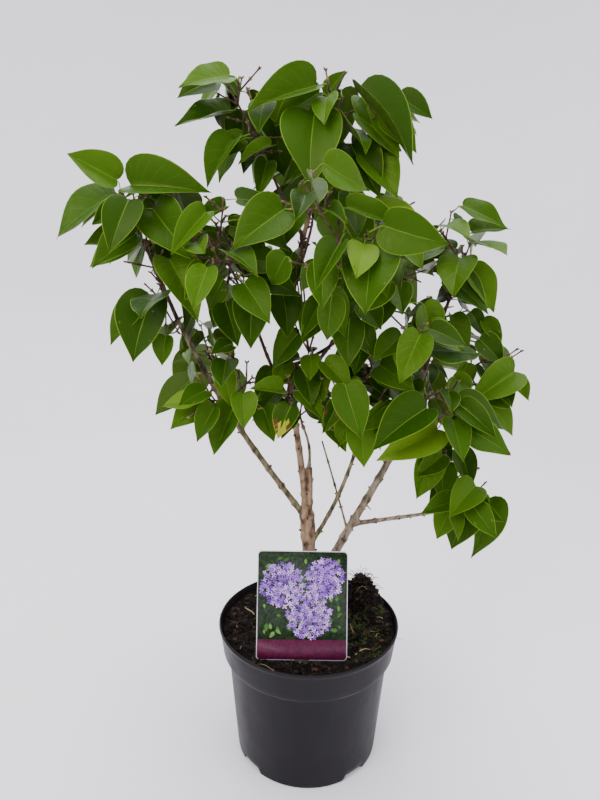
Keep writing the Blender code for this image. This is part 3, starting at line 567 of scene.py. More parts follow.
def trunk_radius(point):
    """Flared at the soil, swollen at the knot, then slimmer where the leader goes on alone."""
    height = point.z - TRUNK_FOOT.z
    leader_share = max(point.z - FORK_Z, 0) / (LIMBS["trunk"][2][2] - FORK_Z)
    leader = LEADER_RADIUS + (LEADER_TIP_RADIUS - LEADER_RADIUS) * math.sqrt(leader_share)
    above_fork = 1 / (1 + math.exp((FORK_Z - point.z) / FORK_STEP))
    radius = TRUNK_RADIUS + (leader - TRUNK_RADIUS) * above_fork
    radius += FLARE * math.exp(-height / FLARE_HEIGHT)
    return radius + KNOT * math.exp(-(((point.z - KNOT_Z) / KNOT_HALF_HEIGHT) ** 2))


def limb_radius(name, share):
    if name == "trunk":
        return trunk_radius(line_point(limb_line(name), share))
    foot, tip = LIMBS[name][4:]
    return foot + (tip - foot) * share


def tube_faces(rings, sides):
    """The faces of a tube of this many rings, with its first end, then its sides, then its last end."""
    faces = [tuple(reversed(range(sides)))]
    for low in range(0, (rings - 1) * sides, sides):
        high = low + sides
        for side in range(sides):
            after = (side + 1) % sides
            faces.append((low + side, low + after, high + after, high + side))
    return faces + [tuple(range((rings - 1) * sides, rings * sides))]


def limb_sections(name):
    """The points along a limb at which its tube has a section."""
    line = limb_line(name)
    steps = max(2, round(line_length(line) / (TRUNK_STEP if name == "trunk" else LIMB_STEP)))
    return [line_point(line, step / steps) for step in range(steps + 1)]


def limb_end_heading(name):
    before, tip = limb_sections(name)[-2:]
    return (tip - before).normalized()


def mass_stem(name):
    """A mass's stem goes on from its limb's tip, with a gap between the two."""
    limb, tip = MASSES[name][:2]
    start = Vector(LIMBS[limb][2]) + limb_end_heading(limb) * GAP
    return start, Vector(tip), STEM_BOW, Vector()


def spaces():
    """Points along every stem, with the stem's mass and its reach: they share out the crown."""
    points, owners, reaches = [], [], []
    for name, mass in MASSES.items():
        stem = mass_stem(name)
        for step in range(SPACE_SAMPLES):
            points.append(line_point(stem, 0.15 + 0.85 * step / (SPACE_SAMPLES - 1)))
            owners.append(name)
            reaches.append(mass[2])
    return np.array(points), owners, np.array(reaches)


def in_own_space(name, point, space):
    """Whether this point is nearer, for its reach, to this mass's stem than to another's."""
    places, owners, reaches = space
    nearest = (np.linalg.norm(places - np.array(point), axis=1) - reaches).argmin()
    return owners[nearest] == name


def tube_mesh(points, radii, sides, first_heading=None):
    """A closed tube through these points. first_heading is what its first end stands square to."""
    across = (points[1] - points[0]).orthogonal().normalized()
    verts = []
    for index, point in enumerate(points):
        heading = (points[min(index + 1, len(points) - 1)] - points[max(index - 1, 0)]).normalized()
        if index == 0 and first_heading:
            heading = first_heading
        across = (across - heading * across.dot(heading)).normalized()
        other = heading.cross(across)
        for side in range(sides):
            angle = 2 * math.pi * side / sides
            verts.append(point + (across * math.cos(angle) + other * math.sin(angle)) * radii[index])
    return verts, tube_faces(len(points), sides)


def leaf_with_room(leaf):
    """A leaf with clear room all round it, for Crowd. Its stalk starts a little way off its shoot."""
    root, foot = leaf[:2]
    return leaf_mesh((root.lerp(foot, STALK_CLEAR_FROM), *leaf[1:]), LEAF_ROOM)


def along_leaf(leaf, share):
    """The point at this share of the straight line from a blade's foot to its tip."""
    return leaf[1] + leaf[2] * (leaf[4] * share)


def leaf_mesh(leaf, room=0.0):
    """A stalk and a folded, arching blade as one closed mesh. room thickens it all round."""
    root, foot, along, normal, length, width, fold, arch = leaf
    across = along.cross(normal)
    stalk = (foot - root).normalized()
    radius = PETIOLE_RADIUS + room

    def blade_point(x, y, lift=0.0):
        sag = arch * length * y * y
        rise = abs(x) * math.tan(fold) * width - sag + lift
        return foot + across * (x * width) + along * (y * length) + normal * rise

    verts = []
    for place, heading in ((root, stalk), (foot, (stalk + along).normalized())):
        up = across.cross(heading)
        up = up.normalized() if up.length > 0.3 else (normal - heading * heading.dot(normal)).normalized()
        verts.append(place + up * radius)
        for side in (-STALK_HALF_BASE, STALK_HALF_BASE):
            verts.append(place + heading.cross(up) * (side * radius) - up * (radius / 2))
    half = BLADE_THICKNESS * length / 2 + room
    verts.append(blade_point(0, MIDRIB_SHARE, half))
    verts.append(blade_point(0, MIDRIB_SHARE, -half))
    verts.append(blade_point(0, 1 + room / length))
    grow = 1 + 2 * room / width
    for side in (-1, 1):
        for x, y in BLADE_OUTLINE:
            verts.append(blade_point(side * x * grow, y))
    count = len(BLADE_OUTLINE)
    top, bottom, tip = 6, 7, 8
    left = list(range(9, 9 + count))
    right = list(range(9 + count, 9 + 2 * count))
    faces = [(0, 1, 2), (0, 3, 4, 1), (1, 4, 5, 2), (2, 5, 3, 0)]
    faces += [(3, left[0], 4), (3, top, left[0]), (3, 5, right[0]), (3, right[0], top)]
    faces += [(4, left[0], bottom), (5, bottom, right[0]), (4, bottom, 5)]
    for near, far in zip(left, left[1:] + [tip]):
        faces += [(top, far, near), (bottom, near, far)]
    for near, far in zip(right, right[1:] + [tip]):
        faces += [(top, near, far), (bottom, far, near)]
    return verts, faces


class Crowd:
    """What stands in the crown so far, for keeping leaves clear of it. The limbs are in it first."""

    def __init__(self):
        self.trees, self.centres, self.radii = [], [], []
        for name in LIMBS:
            self.add(*limb_mesh(name, LEAF_ROOM))

    @staticmethod
    def ball(verts):
        points = np.array(verts)
        centre = points.mean(axis=0)
        return centre, np.linalg.norm(points - centre, axis=1).max()

    def add(self, verts, faces):
        centre, radius = self.ball(verts)
        self.trees.append(BVHTree.FromPolygons(verts, faces))
        self.centres.append(centre)
        self.radii.append(radius)

    def hits(self, verts, faces):
        centre, radius = self.ball(verts)
        far = np.linalg.norm(np.array(self.centres) - centre, axis=1)
        near = np.nonzero(far < np.array(self.radii) + radius)[0]
        if not len(near):
            return False
        tree = BVHTree.FromPolygons(verts, faces)
        return any(tree.overlap(self.trees[index]) for index in near)


def outward(heading, bearing):
    """The direction at this bearing round a shoot, square to it."""
    level, rise = sides_of(heading)
    return level * math.cos(bearing) + rise * math.sin(bearing)


def crossed_pairs(shares, rng):
    """Each of these shares with the two bearings of its pair, which stands square to the pair before."""
    turn = rng.uniform(0, math.pi)
    for share in shares:
        yield share, turn
        yield share, turn + math.pi
        turn += math.pi / 2


def node_shares(first_share, nodes):
    """Where a shoot bears its pairs of leaves, as shares of its length: the last is close to its tip."""
    return [first_share + (LAST_SHARE - first_share) * node / nodes for node in range(nodes + 1)]


def section_shares(shoot):
    """The shares of a shoot's length at which its tube has a section: its ends and between nodes."""
    bearing = node_shares(shoot[3], shoot[4])
    return [0] + [(near + far) / 2 for near, far in zip(bearing, bearing[1:])] + [1]


def shoot_point(shoot, share):
    """The point at this share of a shoot, on the axis of its tube."""
    shares = section_shares(shoot)
    for near, far in zip(shares, shares[1:]):
        if share <= far:
            start, end = line_point(shoot[0], near), line_point(shoot[0], far)
            return start.lerp(end, (share - near) / (far - near))


def shoot_mesh(shoot, room=0.0):
    line, foot_radius, tip_radius, _, _, first_heading = shoot
    shares = section_shares(shoot)
    points = [line_point(line, share) for share in shares]
    radii = [foot_radius + (tip_radius - foot_radius) * share + room for share in shares]
    return tube_mesh(points, radii, TWIG_SIDES, first_heading)


def sides_of(heading):
    """Two directions square to a shoot: one level, and one that rises."""
    level = heading.cross(Vector((0, 0, 1)))
    level = level.normalized() if level.length > 0.1 else Vector((1, 0, 0))
    return level, level.cross(heading)


def leaf_at(shoot, share, bearing, size, rng):
    """A leaf on this side of a shoot: its stalk leans out and up, and its blade hangs over."""
    heading = line_heading(shoot[0], share)
    out = outward(heading, bearing) + heading * rng.uniform(*LEAF_FORWARD)
    out.z *= LEAF_FLATTENING
    out.normalize()
    stalk = (out + Vector((0, 0, rng.uniform(*LEAF_LIFT)))).normalized()
    root = shoot_point(shoot, share) - stalk * ROOT_SINK
    foot = root + stalk * size * rng.uniform(*STALK_SHARE)
    droop = math.radians(rng.uniform(*LEAF_DROOP))
    flat = Vector((out.x, out.y, 0.0))
    flat = flat.normalized() if flat.length > 0.05 else (root - CROWN_CENTRE).xy.to_3d().normalized()
    along = flat * math.cos(droop) - Vector((0, 0, math.sin(droop)))
    normal = facing(along, FRONT_LIGHT if root.y < BACK_Y else BACK_LIGHT, rng.gauss(0, LEAF_ROLL))
    width = size * rng.uniform(*LEAF_WIDTH)
    fold = math.radians(rng.uniform(*LEAF_FOLD))
    return root, foot, along, normal, size, width, fold, rng.uniform(*LEAF_ARCH)


def facing(along, light, roll):
    """The way a blade's upper side faces: to the light, rolled by some degrees about its midrib."""
    normal = (light - along * light.dot(along)).normalized()
    normal.rotate(Matrix.Rotation(math.radians(roll), 3, along))
    return normal


def add_leaf(name, shoot, share, bearing, size, rng, space, crowd, leaves, is_welcome=None):
    """Tries a few ways to hang a leaf here. One that leaves the space or touches something is skipped."""
    for _ in range(LEAF_TRIES):
        leaf = leaf_at(shoot, share, bearing + rng.uniform(-LEAF_SPREAD, LEAF_SPREAD), size, rng)
        if not in_own_space(name, along_leaf(leaf, 0.5), space):
            continue
        if is_welcome and not is_welcome(leaf):
            continue
        clear = leaf_with_room(leaf)
        if not crowd.hits(*clear):
            crowd.add(*clear)
            leaves.append(leaf)
            return


def side_shoot(name, stem, share, bearing, reach, rng, space, crowd):
    """A side shoot that leaves the stem here, or None where there is no room for one."""
    heading = line_heading(stem[0], share)
    root = shoot_point(stem, share)
    for _ in range(SHOOT_TRIES):
        side = outward(heading, bearing + rng.uniform(-SHOOT_SPREAD, SHOOT_SPREAD))
        way = side + heading * rng.uniform(*SHOOT_FORWARD) + Vector((0, 0, SHOOT_LIFT))
        length = reach * rng.uniform(*SHOOT_LENGTH)
        way.normalize()
        tip = root + way * length
        line = (root - way * ROOT_SINK, tip, Vector(), Vector())
        nodes = 1 if length < SHORT_SHOOT else 2
        shoot = (line, SIDE_SHOOT_RADIUS, TWIG_TIP_RADIUS, SIDE_BARE_SHARE, nodes, None)
        clear = shoot_mesh(((root.lerp(tip, SHOOT_CLEAR_FROM), *line[1:]), *shoot[1:]), LEAF_ROOM)
        if in_own_space(name, tip, space) and not crowd.hits(*clear):
            crowd.add(*clear)
            return shoot
    return None


def grow_mass(name, space, crowd):
    """The shoots and leaves of one mass: nodes along the stem, each with two sides, crossed in turn."""
    limb, _, reach, branching, longest, seed = MASSES[name]
    rng = random.Random(seed)
    line = mass_stem(name)
    nodes = max(2, round(line_length(line) / INTERNODE))
    stem = (line, limb_radius(limb, 1), TWIG_TIP_RADIUS, STEM_BARE_SHARE, nodes, limb_end_heading(limb))
    crowd.add(*shoot_mesh(stem))
    shoots, sites, leaves = [stem], [], []
    for share, bearing in crossed_pairs(node_shares(STEM_BARE_SHARE, nodes), rng):
        branches = share < LAST_SHARE and rng.random() < branching
        shoot = side_shoot(name, stem, share, bearing, reach, rng, space, crowd) if branches else None
        if shoot:
            shoots.append(shoot)
        else:
            sites.append((stem, share, bearing, longest * rng.uniform(*STEM_LEAF_SIZE)))
    for shoot in shoots[1:]:
        for share, bearing in crossed_pairs(node_shares(shoot[3], shoot[4]), rng):
            sites.append((shoot, share, bearing, longest * rng.uniform(*SIDE_LEAF_SIZE)))
    for number, site in enumerate(sites):
        add_leaf(name, *site, random.Random(seed * SITES_PER_SEED + number), space, crowd, leaves)
    return shoots, leaves


def limb_mesh(name, room=0.0):
    points = limb_sections(name)
    radii = [limb_radius(name, index / (len(points) - 1)) + room for index in range(len(points))]
    return tube_mesh(points, radii, TRUNK_SIDES if name == "trunk" else LIMB_SIDES)


def fill_mass(name, shoots, space, crowd, clear_view):
    """Finer twigs and smaller leaves, wherever the mass still has room for them within its own box."""
    longest, seed = MASSES[name][4:]
    rng = random.Random(seed * SITES_PER_SEED - 1)
    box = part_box(name)
    twigs, leaves = [], []

    def is_welcome(leaf):
        return in_box(along_leaf(leaf, 1), box) and clear_view.is_kept_by(leaf)

    for shoot in shoots:
        for share, bearing in crossed_pairs(node_shares(shoot[3], shoot[4])[:-1], rng):
            twig = side_shoot(name, shoot, share, bearing, FINE_REACH, rng, space, crowd)
            if twig:
                twigs.append(twig)
    for shoot in shoots + twigs:
        for share, bearing in crossed_pairs(node_shares(shoot[3], shoot[4] * 2), rng):
            size = longest * rng.uniform(*FILL_SIZE)
            add_leaf(name, shoot, share, bearing, size, rng, space, crowd, leaves, is_welcome)
    return twigs, leaves


def as_seen(point):
    """Where the viewer sees a point, on the upright plane through the trunk's foot."""
    share = VIEWER.y / (VIEWER.y - point.y)
    seen = VIEWER.lerp(point, share)
    return np.array((seen.x, seen.z))


def leaf_outline(leaf):
    """Eight points round a leaf, as the viewer sees them, in order."""
    _, foot, along, normal, length, width, fold, _ = leaf
    across = along.cross(normal) * math.cos(fold)
    lift = normal * math.sin(fold)
    round_it = SEEN_OUTLINE + tuple((-x, y) for x, y in SEEN_OUTLINE[-2:0:-1])
    points = [
        foot + along * (y * length) + across * (x * width) + lift * (abs(x) * width) for x, y in round_it
    ]
    return np.array([as_seen(point) for point in points])


class ClearView:
    """The spots that no leaf may cover, as the viewer sees them: limbs that show, and open sky."""

    def __init__(self):
        limbs = []
        for name, low, high in SEEN_LIMBS:
            limbs += [line_point(limb_line(name), low + (high - low) * step / 12) for step in range(13)]
        for name in SEEN_STEMS:
            limbs += [line_point(mass_stem(name), SEEN_STEM_SHARE * step / 8) for step in range(9)]
        sky = np.array(OPEN_SKY) / 1000
        self.spots = np.vstack((sky[:, :2], [as_seen(point) for point in limbs]))
        self.rooms = np.append(sky[:, 2], [SEEN_ROOM] * len(limbs))
        self.depths = np.append([math.inf] * len(sky), [point.y - SEEN_DEPTH for point in limbs])

    def is_kept_by(self, leaf):
        outline = leaf_outline(leaf)
        near = np.linalg.norm(self.spots - outline.mean(axis=0), axis=1) < self.rooms + leaf[4] * 0.8
        near &= self.depths > along_leaf(leaf, 0.5).y
        if not near.any():
            return True
        side = np.roll(outline, -1, axis=0) - outline
        off = self.spots[near][:, None] - outline[None]
        share = np.clip((off * side).sum(axis=2) / np.maximum((side * side).sum(axis=1), 1e-12), 0, 1)
        far = np.linalg.norm(off - side * share[..., None], axis=2).min(axis=1)
        turns = side[:, 0] * off[..., 1] - side[:, 1] * off[..., 0]
        inside = (turns > 0).all(axis=1) | (turns < 0).all(axis=1)
        return not (inside | (far < self.rooms[near])).any()


def in_box(point, box):
    return all(low <= value <= high for low, value, high in zip(box[0], point, box[1]))


def shown_leaf(numbers, shoots, rng):
    """A leaf that the photo shows, and the twig that bears it where the nearest shoot is too far off."""
    foot, tip = (Vector([number / 1000 for number in part]) for part in (numbers[:3], numbers[3:6]))
    along = (tip - foot).normalized()
    normal = facing(along, FRONT_LIGHT, numbers[6])
    places = [shoot_point(shoot, step / 20) for shoot in shoots for step in range(4, 20)]
    root = min(places, key=lambda place: (place - foot).length)
    reach = (foot - root).length
    twig = None
    if reach > LONG_STALK:
        end = root.lerp(foot, 1 - TWIG_SHORT_BY / reach)
        line = (root, end, Vector((0, 0, -TWIG_SAG * reach)), Vector())
        twig = (line, SIDE_SHOOT_RADIUS, TWIG_TIP_RADIUS, SIDE_BARE_SHARE, 1, None)
        root = end
    length = (tip - foot).length
    fold = math.radians(rng.uniform(*SHOWN_FOLD))
    width = length * rng.uniform(*SHOWN_WIDTH)
    return (root, foot, along, normal, length, width, fold, rng.uniform(*SHOWN_ARCH)), twig


def settled(name, leaf, rng, crowd, is_welcome):
    """A leaf at its size in life, turned about its stalk's end to a way that is clear, or None."""
    root, foot, along, normal, length, width, fold, arch = leaf
    life = LIFE_SIZE.get(name, OTHER_LIFE_SIZE) * rng.uniform(*LIFE_SPREAD)
    fold += math.radians(rng.uniform(*EXTRA_FOLD))
    arch += rng.uniform(*EXTRA_ARCH)
    for tried in range(SETTLE_TRIES):
        most = math.radians(SETTLE_TURN) * (1 - tried / SETTLE_TRIES)
        turn = Matrix.Identity(3)
        for axis in (normal, along, along.cross(normal)):
            turn = Matrix.Rotation(rng.uniform(-most, most), 3, axis) @ turn
        made = (root, foot, turn @ along, turn @ normal, length * life, width * life, fold, arch)
        clear = leaf_with_room(made)
        if is_welcome(made) and not crowd.hits(*clear):
            crowd.add(*clear)
            return made
    return None


def grow_crown():
    """Every mass's shoots and leaves, by name: the part's own first, and then the finer ones."""
    crowd, space = Crowd(), spaces()
    crown = {name: grow_mass(name, space, crowd) for name in MASSES}
    return refined(crown, space)


def refined(crown, space):
    """The same crown with its leaves at life size, those that the photo shows, and finer ones between."""
    crowd = Crowd()
    for shoots, _ in crown.values():
        for shoot in shoots:
            crowd.add(*shoot_mesh(shoot))
    fresh = {name: (list(shoots), []) for name, (shoots, _) in crown.items()}
    rng = random.Random(SHOWN_SEED)
    for mass, *numbers in SHOWN_LEAVES:
        name = f"{mass}_foliage"
        leaf, twig = shown_leaf(numbers, crown[name][0], rng)
        if twig:
            fresh[name][0].append(twig)
            crowd.add(*shoot_mesh(twig))
        crowd.add(*leaf_with_room(leaf))
        fresh[name][1].append(leaf)
    clear_view = ClearView()
    for name, (_, leaves) in crown.items():
        rng = random.Random(MASSES[name][5] + SITES_PER_SEED)
        made = [settled(name, leaf, rng, crowd, clear_view.is_kept_by) for leaf in leaves]
        fresh[name][1].extend(filter(None, made))
    for name, (shoots, leaves) in fresh.items():
        twigs, more = fill_mass(name, shoots, space, crowd, clear_view)
        shoots += twigs
        leaves += more
    return fresh


def margin_point(share):
    """The point this far round a blade's margin, on a smooth curve through MARGIN."""
    place = share * (len(MARGIN) - 1)
    index = min(int(place), len(MARGIN) - 2)
    part = place - index
    near = [np.array(MARGIN[min(max(index + step, 0), len(MARGIN) - 1)]) for step in (-1, 0, 1, 2)]
    a, b, c, d = near
    curve = 2 * b + (c - a) * part + (2 * a - 5 * b + 4 * c - d) * part**2
    return (curve + (3 * b - a - 3 * c + d) * part**3) / 2


def blade_rows(veins):
    """The rows across a blade: how far round the margin each ends, its puff, and whether a vein follows."""
    ends = (FIRST_ROW,) + veins + (LAST_ROW,)
    rows = [(FIRST_ROW, 0.0, False)]
    for near, far in zip(ends, ends[1:]):
        rows.append(((near + far) / 2, 1.0, False))
        if far == LAST_ROW:
            rows.append((far, 0.0, False))
        else:
            rows += [(far - VEIN_HALF_SHARE, 0.0, True), (far + VEIN_HALF_SHARE, 0.0, False)]
    return rows


class Blade:
    """The pattern of a blade: its points across and along as shares, and its faces by kind."""

    def __init__(self, veins, columns):
        rows = blade_rows(veins)
        across = [-column for column in reversed(columns)] + list(columns)
        count = len(across)
        points = [self.point(share, column, columns[0]) for share, _, _ in rows for column in across]
        self.x, self.y = np.array(points).T
        wide = np.tile(across, len(rows))
        self.out, self.side = np.abs(wide), np.sign(wide)
        puffs = np.repeat([puff for _, puff, _ in rows], count)
        self.puff = puffs * np.sin(math.pi * np.minimum(self.out, 1))
        self.faces, self.kinds = [], []
        below = len(points)
        for row in range(len(rows) - 1):
            for column in range(count - 1):
                first = row * count + column
                corners = (first, first + 1, first + count + 1, first + count)
                under = tuple(corner + below for corner in reversed(corners))
                self.faces += [corners, under]
                self.kinds += [self.kind(rows[row][2], column, across), UNDER]
        last = (len(rows) - 1) * count
        rim = list(range(count)) + [row * count + count - 1 for row in range(1, len(rows))]
        rim += range(last + count - 2, last - 1, -1)
        rim += range(last - count, 0, -count)
        self.faces += [(near, near + below, far + below, far) for near, far in zip(rim, rim[1:] + rim[:1])]
        self.kinds += [EDGE] * len(rim)

    @staticmethod
    def point(share, column, rib):
        x, y = margin_point(share)
        middle = share**MIDRIB_SWEEP
        out = abs(column)
        if out == rib:
            return math.copysign(min(RIB_HALF_WIDTH * (1 - 0.8 * middle), x / 3), column), middle
        return math.copysign(x * out**0.95, column), middle + (y - middle) * out**1.25

    @staticmethod
    def kind(is_vein, column, across):
        near, far = across[column], across[column + 1]
        if near < 0 < far:
            return RIB
        if max(abs(near), abs(far)) == 1:
            return EDGE
        return LINE if is_vein and max(abs(near), abs(far)) < VEIN_REACH + 0.06 else BLADE


def blade_points(pattern, leaf, rng):
    """A leaf's blade: folded along its midrib, arched, puffed between its veins and waved at its edge."""
    _, foot, along, normal, length, width, fold, arch = leaf
    x, y = pattern.x, pattern.y
    crease = np.sqrt(x * x + FOLD_ROUNDING**2) - FOLD_ROUNDING
    rise = math.sin(fold) * width * (crease - CUP * x * x) - arch * length * y * y
    x = x * math.cos(fold)
    rise += pattern.puff * PUFF * length
    waves, phase = rng.uniform(*EDGE_WAVES), rng.uniform(0, 1)
    swing = np.sin(2 * math.pi * (waves * y + phase + 0.35 * pattern.side))
    rise += rng.uniform(*EDGE_WAVE) * length * pattern.out**3 * swing
    rise += rng.uniform(-TWIST, TWIST) * x * width * y
    bend = rng.uniform(-TIP_BEND, TIP_BEND) * length * y * y
    flat = np.outer(x * width + bend, along.cross(normal)) + np.outer(y * length, along)
    top = np.array(foot) + flat + np.outer(rise, normal)
    return np.vstack((top, top - np.array(normal) * BLADE_DEPTH))


def stalk_mesh(leaf, is_small):
    """A stalk that curves into the blade and runs on under it as its midrib."""
    root, foot, along, normal, length, _, _, arch = leaf
    way = (root, root.lerp(foot, 0.45), foot - along * ((foot - root).length * 0.3), foot)
    steps = 2 if is_small else STALK_STEPS
    points, radii = [], []
    for step in range(steps + 1):
        share = step / steps
        weights = ((1 - share) ** 3, 3 * share * (1 - share) ** 2, 3 * share**2 * (1 - share), share**3)
        points.append(sum((place * weight for place, weight in zip(way, weights)), Vector()))
        radii.append(STALK_RADII[0] + (STALK_RADII[1] - STALK_RADII[0]) * min(share * 2, 1))
    for share in RIB_SHARES[1:2] if is_small else RIB_SHARES:
        sag = arch * length * share * share + BLADE_DEPTH
        points.append(foot + along * (share * length) - normal * sag)
        radii.append(STALK_RADII[1] + (RIB_TIP_RADIUS - STALK_RADII[1]) * share / RIB_SHARES[-1])
    return tube_mesh(points, radii, 4 if is_small else STALK_SIDES)


def add_object(name, data):
    obj = bpy.data.objects.new(name, data)
    bpy.context.scene.collection.objects.link(obj)
    return obj


class Pile:
    """Meshes that are joined into one, with a material slot for every face."""

    def __init__(self):
        self.verts, self.faces, self.slots, self.count = [], [], [], 0

    def add(self, verts, faces, slots):
        """slots is one slot for all the faces, or a list of one for each."""
        self.verts.append(np.array(verts, dtype=float).reshape(-1, 3))
        first = self.count
        self.faces += [tuple(corner + first for corner in face) for face in faces]
        self.slots += slots if isinstance(slots, list) else [slots] * len(faces)
        self.count += len(verts)

    def piece(self, name, materials, slot, *replaced):
        """Makes the pile one piece, which rides on the part. Its slot is not used."""
        mesh = bpy.data.meshes.new(name)
        mesh.from_pydata(np.vstack(self.verts).tolist(), [], self.faces)
        for finish in materials:
            mesh.materials.append(finish)
        mesh.polygons.foreach_set("material_index", self.slots)
        mesh.shade_smooth()
        mesh.update()
        obj = add_object(name, mesh)
        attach(obj, "root")
        if replaced:
            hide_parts(*replaced)


def leaf_slots(pattern, role, rng):
    """The material slot of every face of a blade: its green, or yellow and brown on the few odd leaves."""
    green = rng.choices(range(len(GREENS)), GREEN_WEIGHTS)[0]
    if role == "bright":
        green = len(GREENS) - 1
    line = min(green + rng.randrange(2), len(GREENS) - 1)
    # Margin faces take the pale margin green, which is partly painted glow of light through the edge.
    by_kind = {BLADE: green, LINE: line, RIB: RIB_SLOT, EDGE: MARGIN_AND_GLOW_SLOT, UNDER: UNDER_SLOT}
    slots = [by_kind[kind] for kind in pattern.kinds]
    if role in ("yellow", "brown"):
        start = rng.uniform(*BROWN_FROM)
        for index, (face, kind) in enumerate(zip(pattern.faces, pattern.kinds)):
            place = face[0] % len(pattern.x)
            y, out = pattern.y[place], pattern.out[place]
            if role == "yellow" and y > YELLOW_FROM + 0.12 * math.sin(9 * out):
                slots[index] = BROWN_SLOT if rng.random() < SPOT_SHARE else YELLOW_SLOT
            if role == "brown" and kind != UNDER and out > 0.62 and abs(y - start) < BROWN_HALF:
                slots[index] = BROWN_SLOT
    return slots


def odd_leaves(crown):
    """Which leaves aren't plain green, by mass and number: those nearest the places named above."""
    every = []
    for name, (_, leaves) in crown.items():
        every += [(name, number, leaf) for number, leaf in enumerate(leaves)]
    roles = {}
    for place, role in ODD_LEAVES:
        name, number, _ = min(every, key=lambda one: (along_leaf(one[2], 0.5) - Vector(place)).length)
        roles[name, number] = role
    return roles


def leaves_piece(name, leaves, roles, patterns, materials):
    pile = Pile()
    rng = random.Random(MASSES[name][5])
    for number, leaf in enumerate(leaves):
        is_small = leaf[4] < SMALL_LEAF
        pattern = patterns[is_small]
        points = blade_points(pattern, leaf, rng)
        pile.add(points, pattern.faces, leaf_slots(pattern, roles.get((name, number)), rng))
        pile.add(*stalk_mesh(leaf, is_small), RIB_SLOT)
    pile.piece(f"{name}_leaves", materials, "leaf", name)


def bud_mesh(place, way, length, radius):
    """A pointed bud with a swollen middle."""
    points = [place + way * (length * share) for share, _ in BUD_SHAPE]
    return tube_mesh(points, [radius * width for _, width in BUD_SHAPE], 6)


def add_twig(pile, shoot, is_stem):
    """A fine shoot: swollen at its nodes, with a pair of buds at each and at its tip."""
    line, foot_radius, tip_radius, first_share, nodes, first_heading = shoot
    length = line_length(line)
    bearing = node_shares(first_share, nodes)
    steps = max(4, round(length / SHOOT_STEP))
    points = [line[0] - first_heading * STEM_SINK] if is_stem else []
    radii = [foot_radius] * is_stem
    for step in range(steps + 1):
        share = step / steps
        near = min(abs(share - node) for node in bearing) * length
        swelling = NODE_SWELLING * math.exp(-((near / NODE_HALF_LENGTH) ** 2))
        points.append(line_point(line, share))
        radii.append((foot_radius + (tip_radius - foot_radius) * share) * (1 + swelling))
    pile.add(*tube_mesh(points, radii, SHOOT_SIDES), 0)
    for number, share in enumerate(bearing):
        heading = line_heading(line, share)
        level, rise = sides_of(heading)
        side = level if number % 2 else rise
        size = 0.8 if share < LAST_SHARE else 1.0
        for sign in (-1, 1):
            way = (heading + side * (0.7 * sign)).normalized()
            place = line_point(line, share) + side * (sign * tip_radius * 0.5)
            pile.add(*bud_mesh(place, way, BUD_LENGTH * size, BUD_RADIUS * size), 1)


def twigs_piece(name, shoots, materials):
    pile = Pile()
    for number, shoot in enumerate(shoots):
        add_twig(pile, shoot, number == 0)
    pile.piece(f"{name}_twigs", materials, "bark")


def node_turn(node):
    """The bearing that a limb's node turns its scars and buds to."""
    return (node % 2) * math.pi / 2 + 0.4 * math.sin(node * 5)


def bark_radius(name, share, far, bearing):
    """A limb's radius here, with its node swellings and, on two sides of each, the scar of a leaf."""
    radius = limb_radius(name, share)
    node = round(far / BARK_NODE_GAP)
    along = (far - node * BARK_NODE_GAP) / (NODE_HALF_LENGTH * (1 + radius / 0.006))
    if node < 1:
        return radius
    round_it = abs(math.sin(bearing - node_turn(node)))
    scar = SCAR_HEIGHT * math.exp(-((round_it / SCAR_WIDTH) ** 2) - (along / SCAR_LENGTH) ** 2)
    return radius * (1 + BARK_NODE_SWELLING * math.exp(-along * along)) + scar


def add_limb_buds(pile, name, line, length):
    """Dark resting buds in pairs at a limb's nodes, and single dark knots between them."""
    rng = random.Random(len(name) * 31 + ord(name[0]))
    for node in range(1, int(length / BARK_NODE_GAP) + 1):
        for sign in (-1, 1, 0):
            is_knot = sign == 0
            if rng.random() < BUD_MISSING:
                continue
            off = rng.uniform(0.3, 0.7) if is_knot else 0
            share = (node - off) * BARK_NODE_GAP / length
            heading = line_heading(line, share)
            out = outward(heading, node_turn(node) + (rng.uniform(0, 6) if is_knot else 0)) * (sign or 1)
            radius = limb_radius(name, share)
            size = rng.uniform(0.8, 1.3) * (0.0016 + 0.10 * radius)
            place = line_point(line, share) + out * (radius * 1.02 - size * 0.5)
            pile.add(*bud_mesh(place, (heading * 0.5 + out).normalized(), size * 1.9, size * 0.62), 2)


def bark_piece(name, materials):
    """A limb's bark: fine rings with nodes, scars, a swollen collar at its foot and a grained surface."""
    line = limb_line(name)
    length = line_length(line)
    sides = TRUNK_BARK_SIDES if name == "trunk" else BARK_SIDES
    steps = round(length / BARK_STEP)
    parent = LIMBS[name][0]
    sunk = limb_radius(parent, LIMBS[name][1]) if parent else 0
    across = line_heading(line, 0).orthogonal().normalized()
    verts = []
    for step in range(steps + 1):
        share = step / steps
        point, heading = line_point(line, share), line_heading(line, share)
        across = (across - heading * across.dot(heading)).normalized()
        other = heading.cross(across)
        collar = COLLAR_SWELLING * math.exp(-max(share * length - sunk, 0) / COLLAR_LENGTH) if parent else 0
        for side in range(sides):
            bearing = 2 * math.pi * side / sides
            out = across * math.cos(bearing) + other * math.sin(bearing)
            out *= bark_radius(name, share, share * length, bearing) * (1 + collar)
            place = point + out
            grain = noise.noise(Vector((place.x * 420, place.y * 420, place.z * 60)))
            verts.append(point + out * (1 + BARK_RELIEF * (noise.noise(place * 95) + 0.6 * grain)))
    faces = tube_faces(steps + 1, sides)
    pile = Pile()
    pile.add(verts, faces, [0] * (len(faces) - 1) + [1])
    add_limb_buds(pile, name, line, length)
    looks = [materials[look] for look in (BARKS.get(name, "bark dark"), "bark cut", "bark dark")]
    pile.piece(f"{name}_bark", looks, "bark", name)


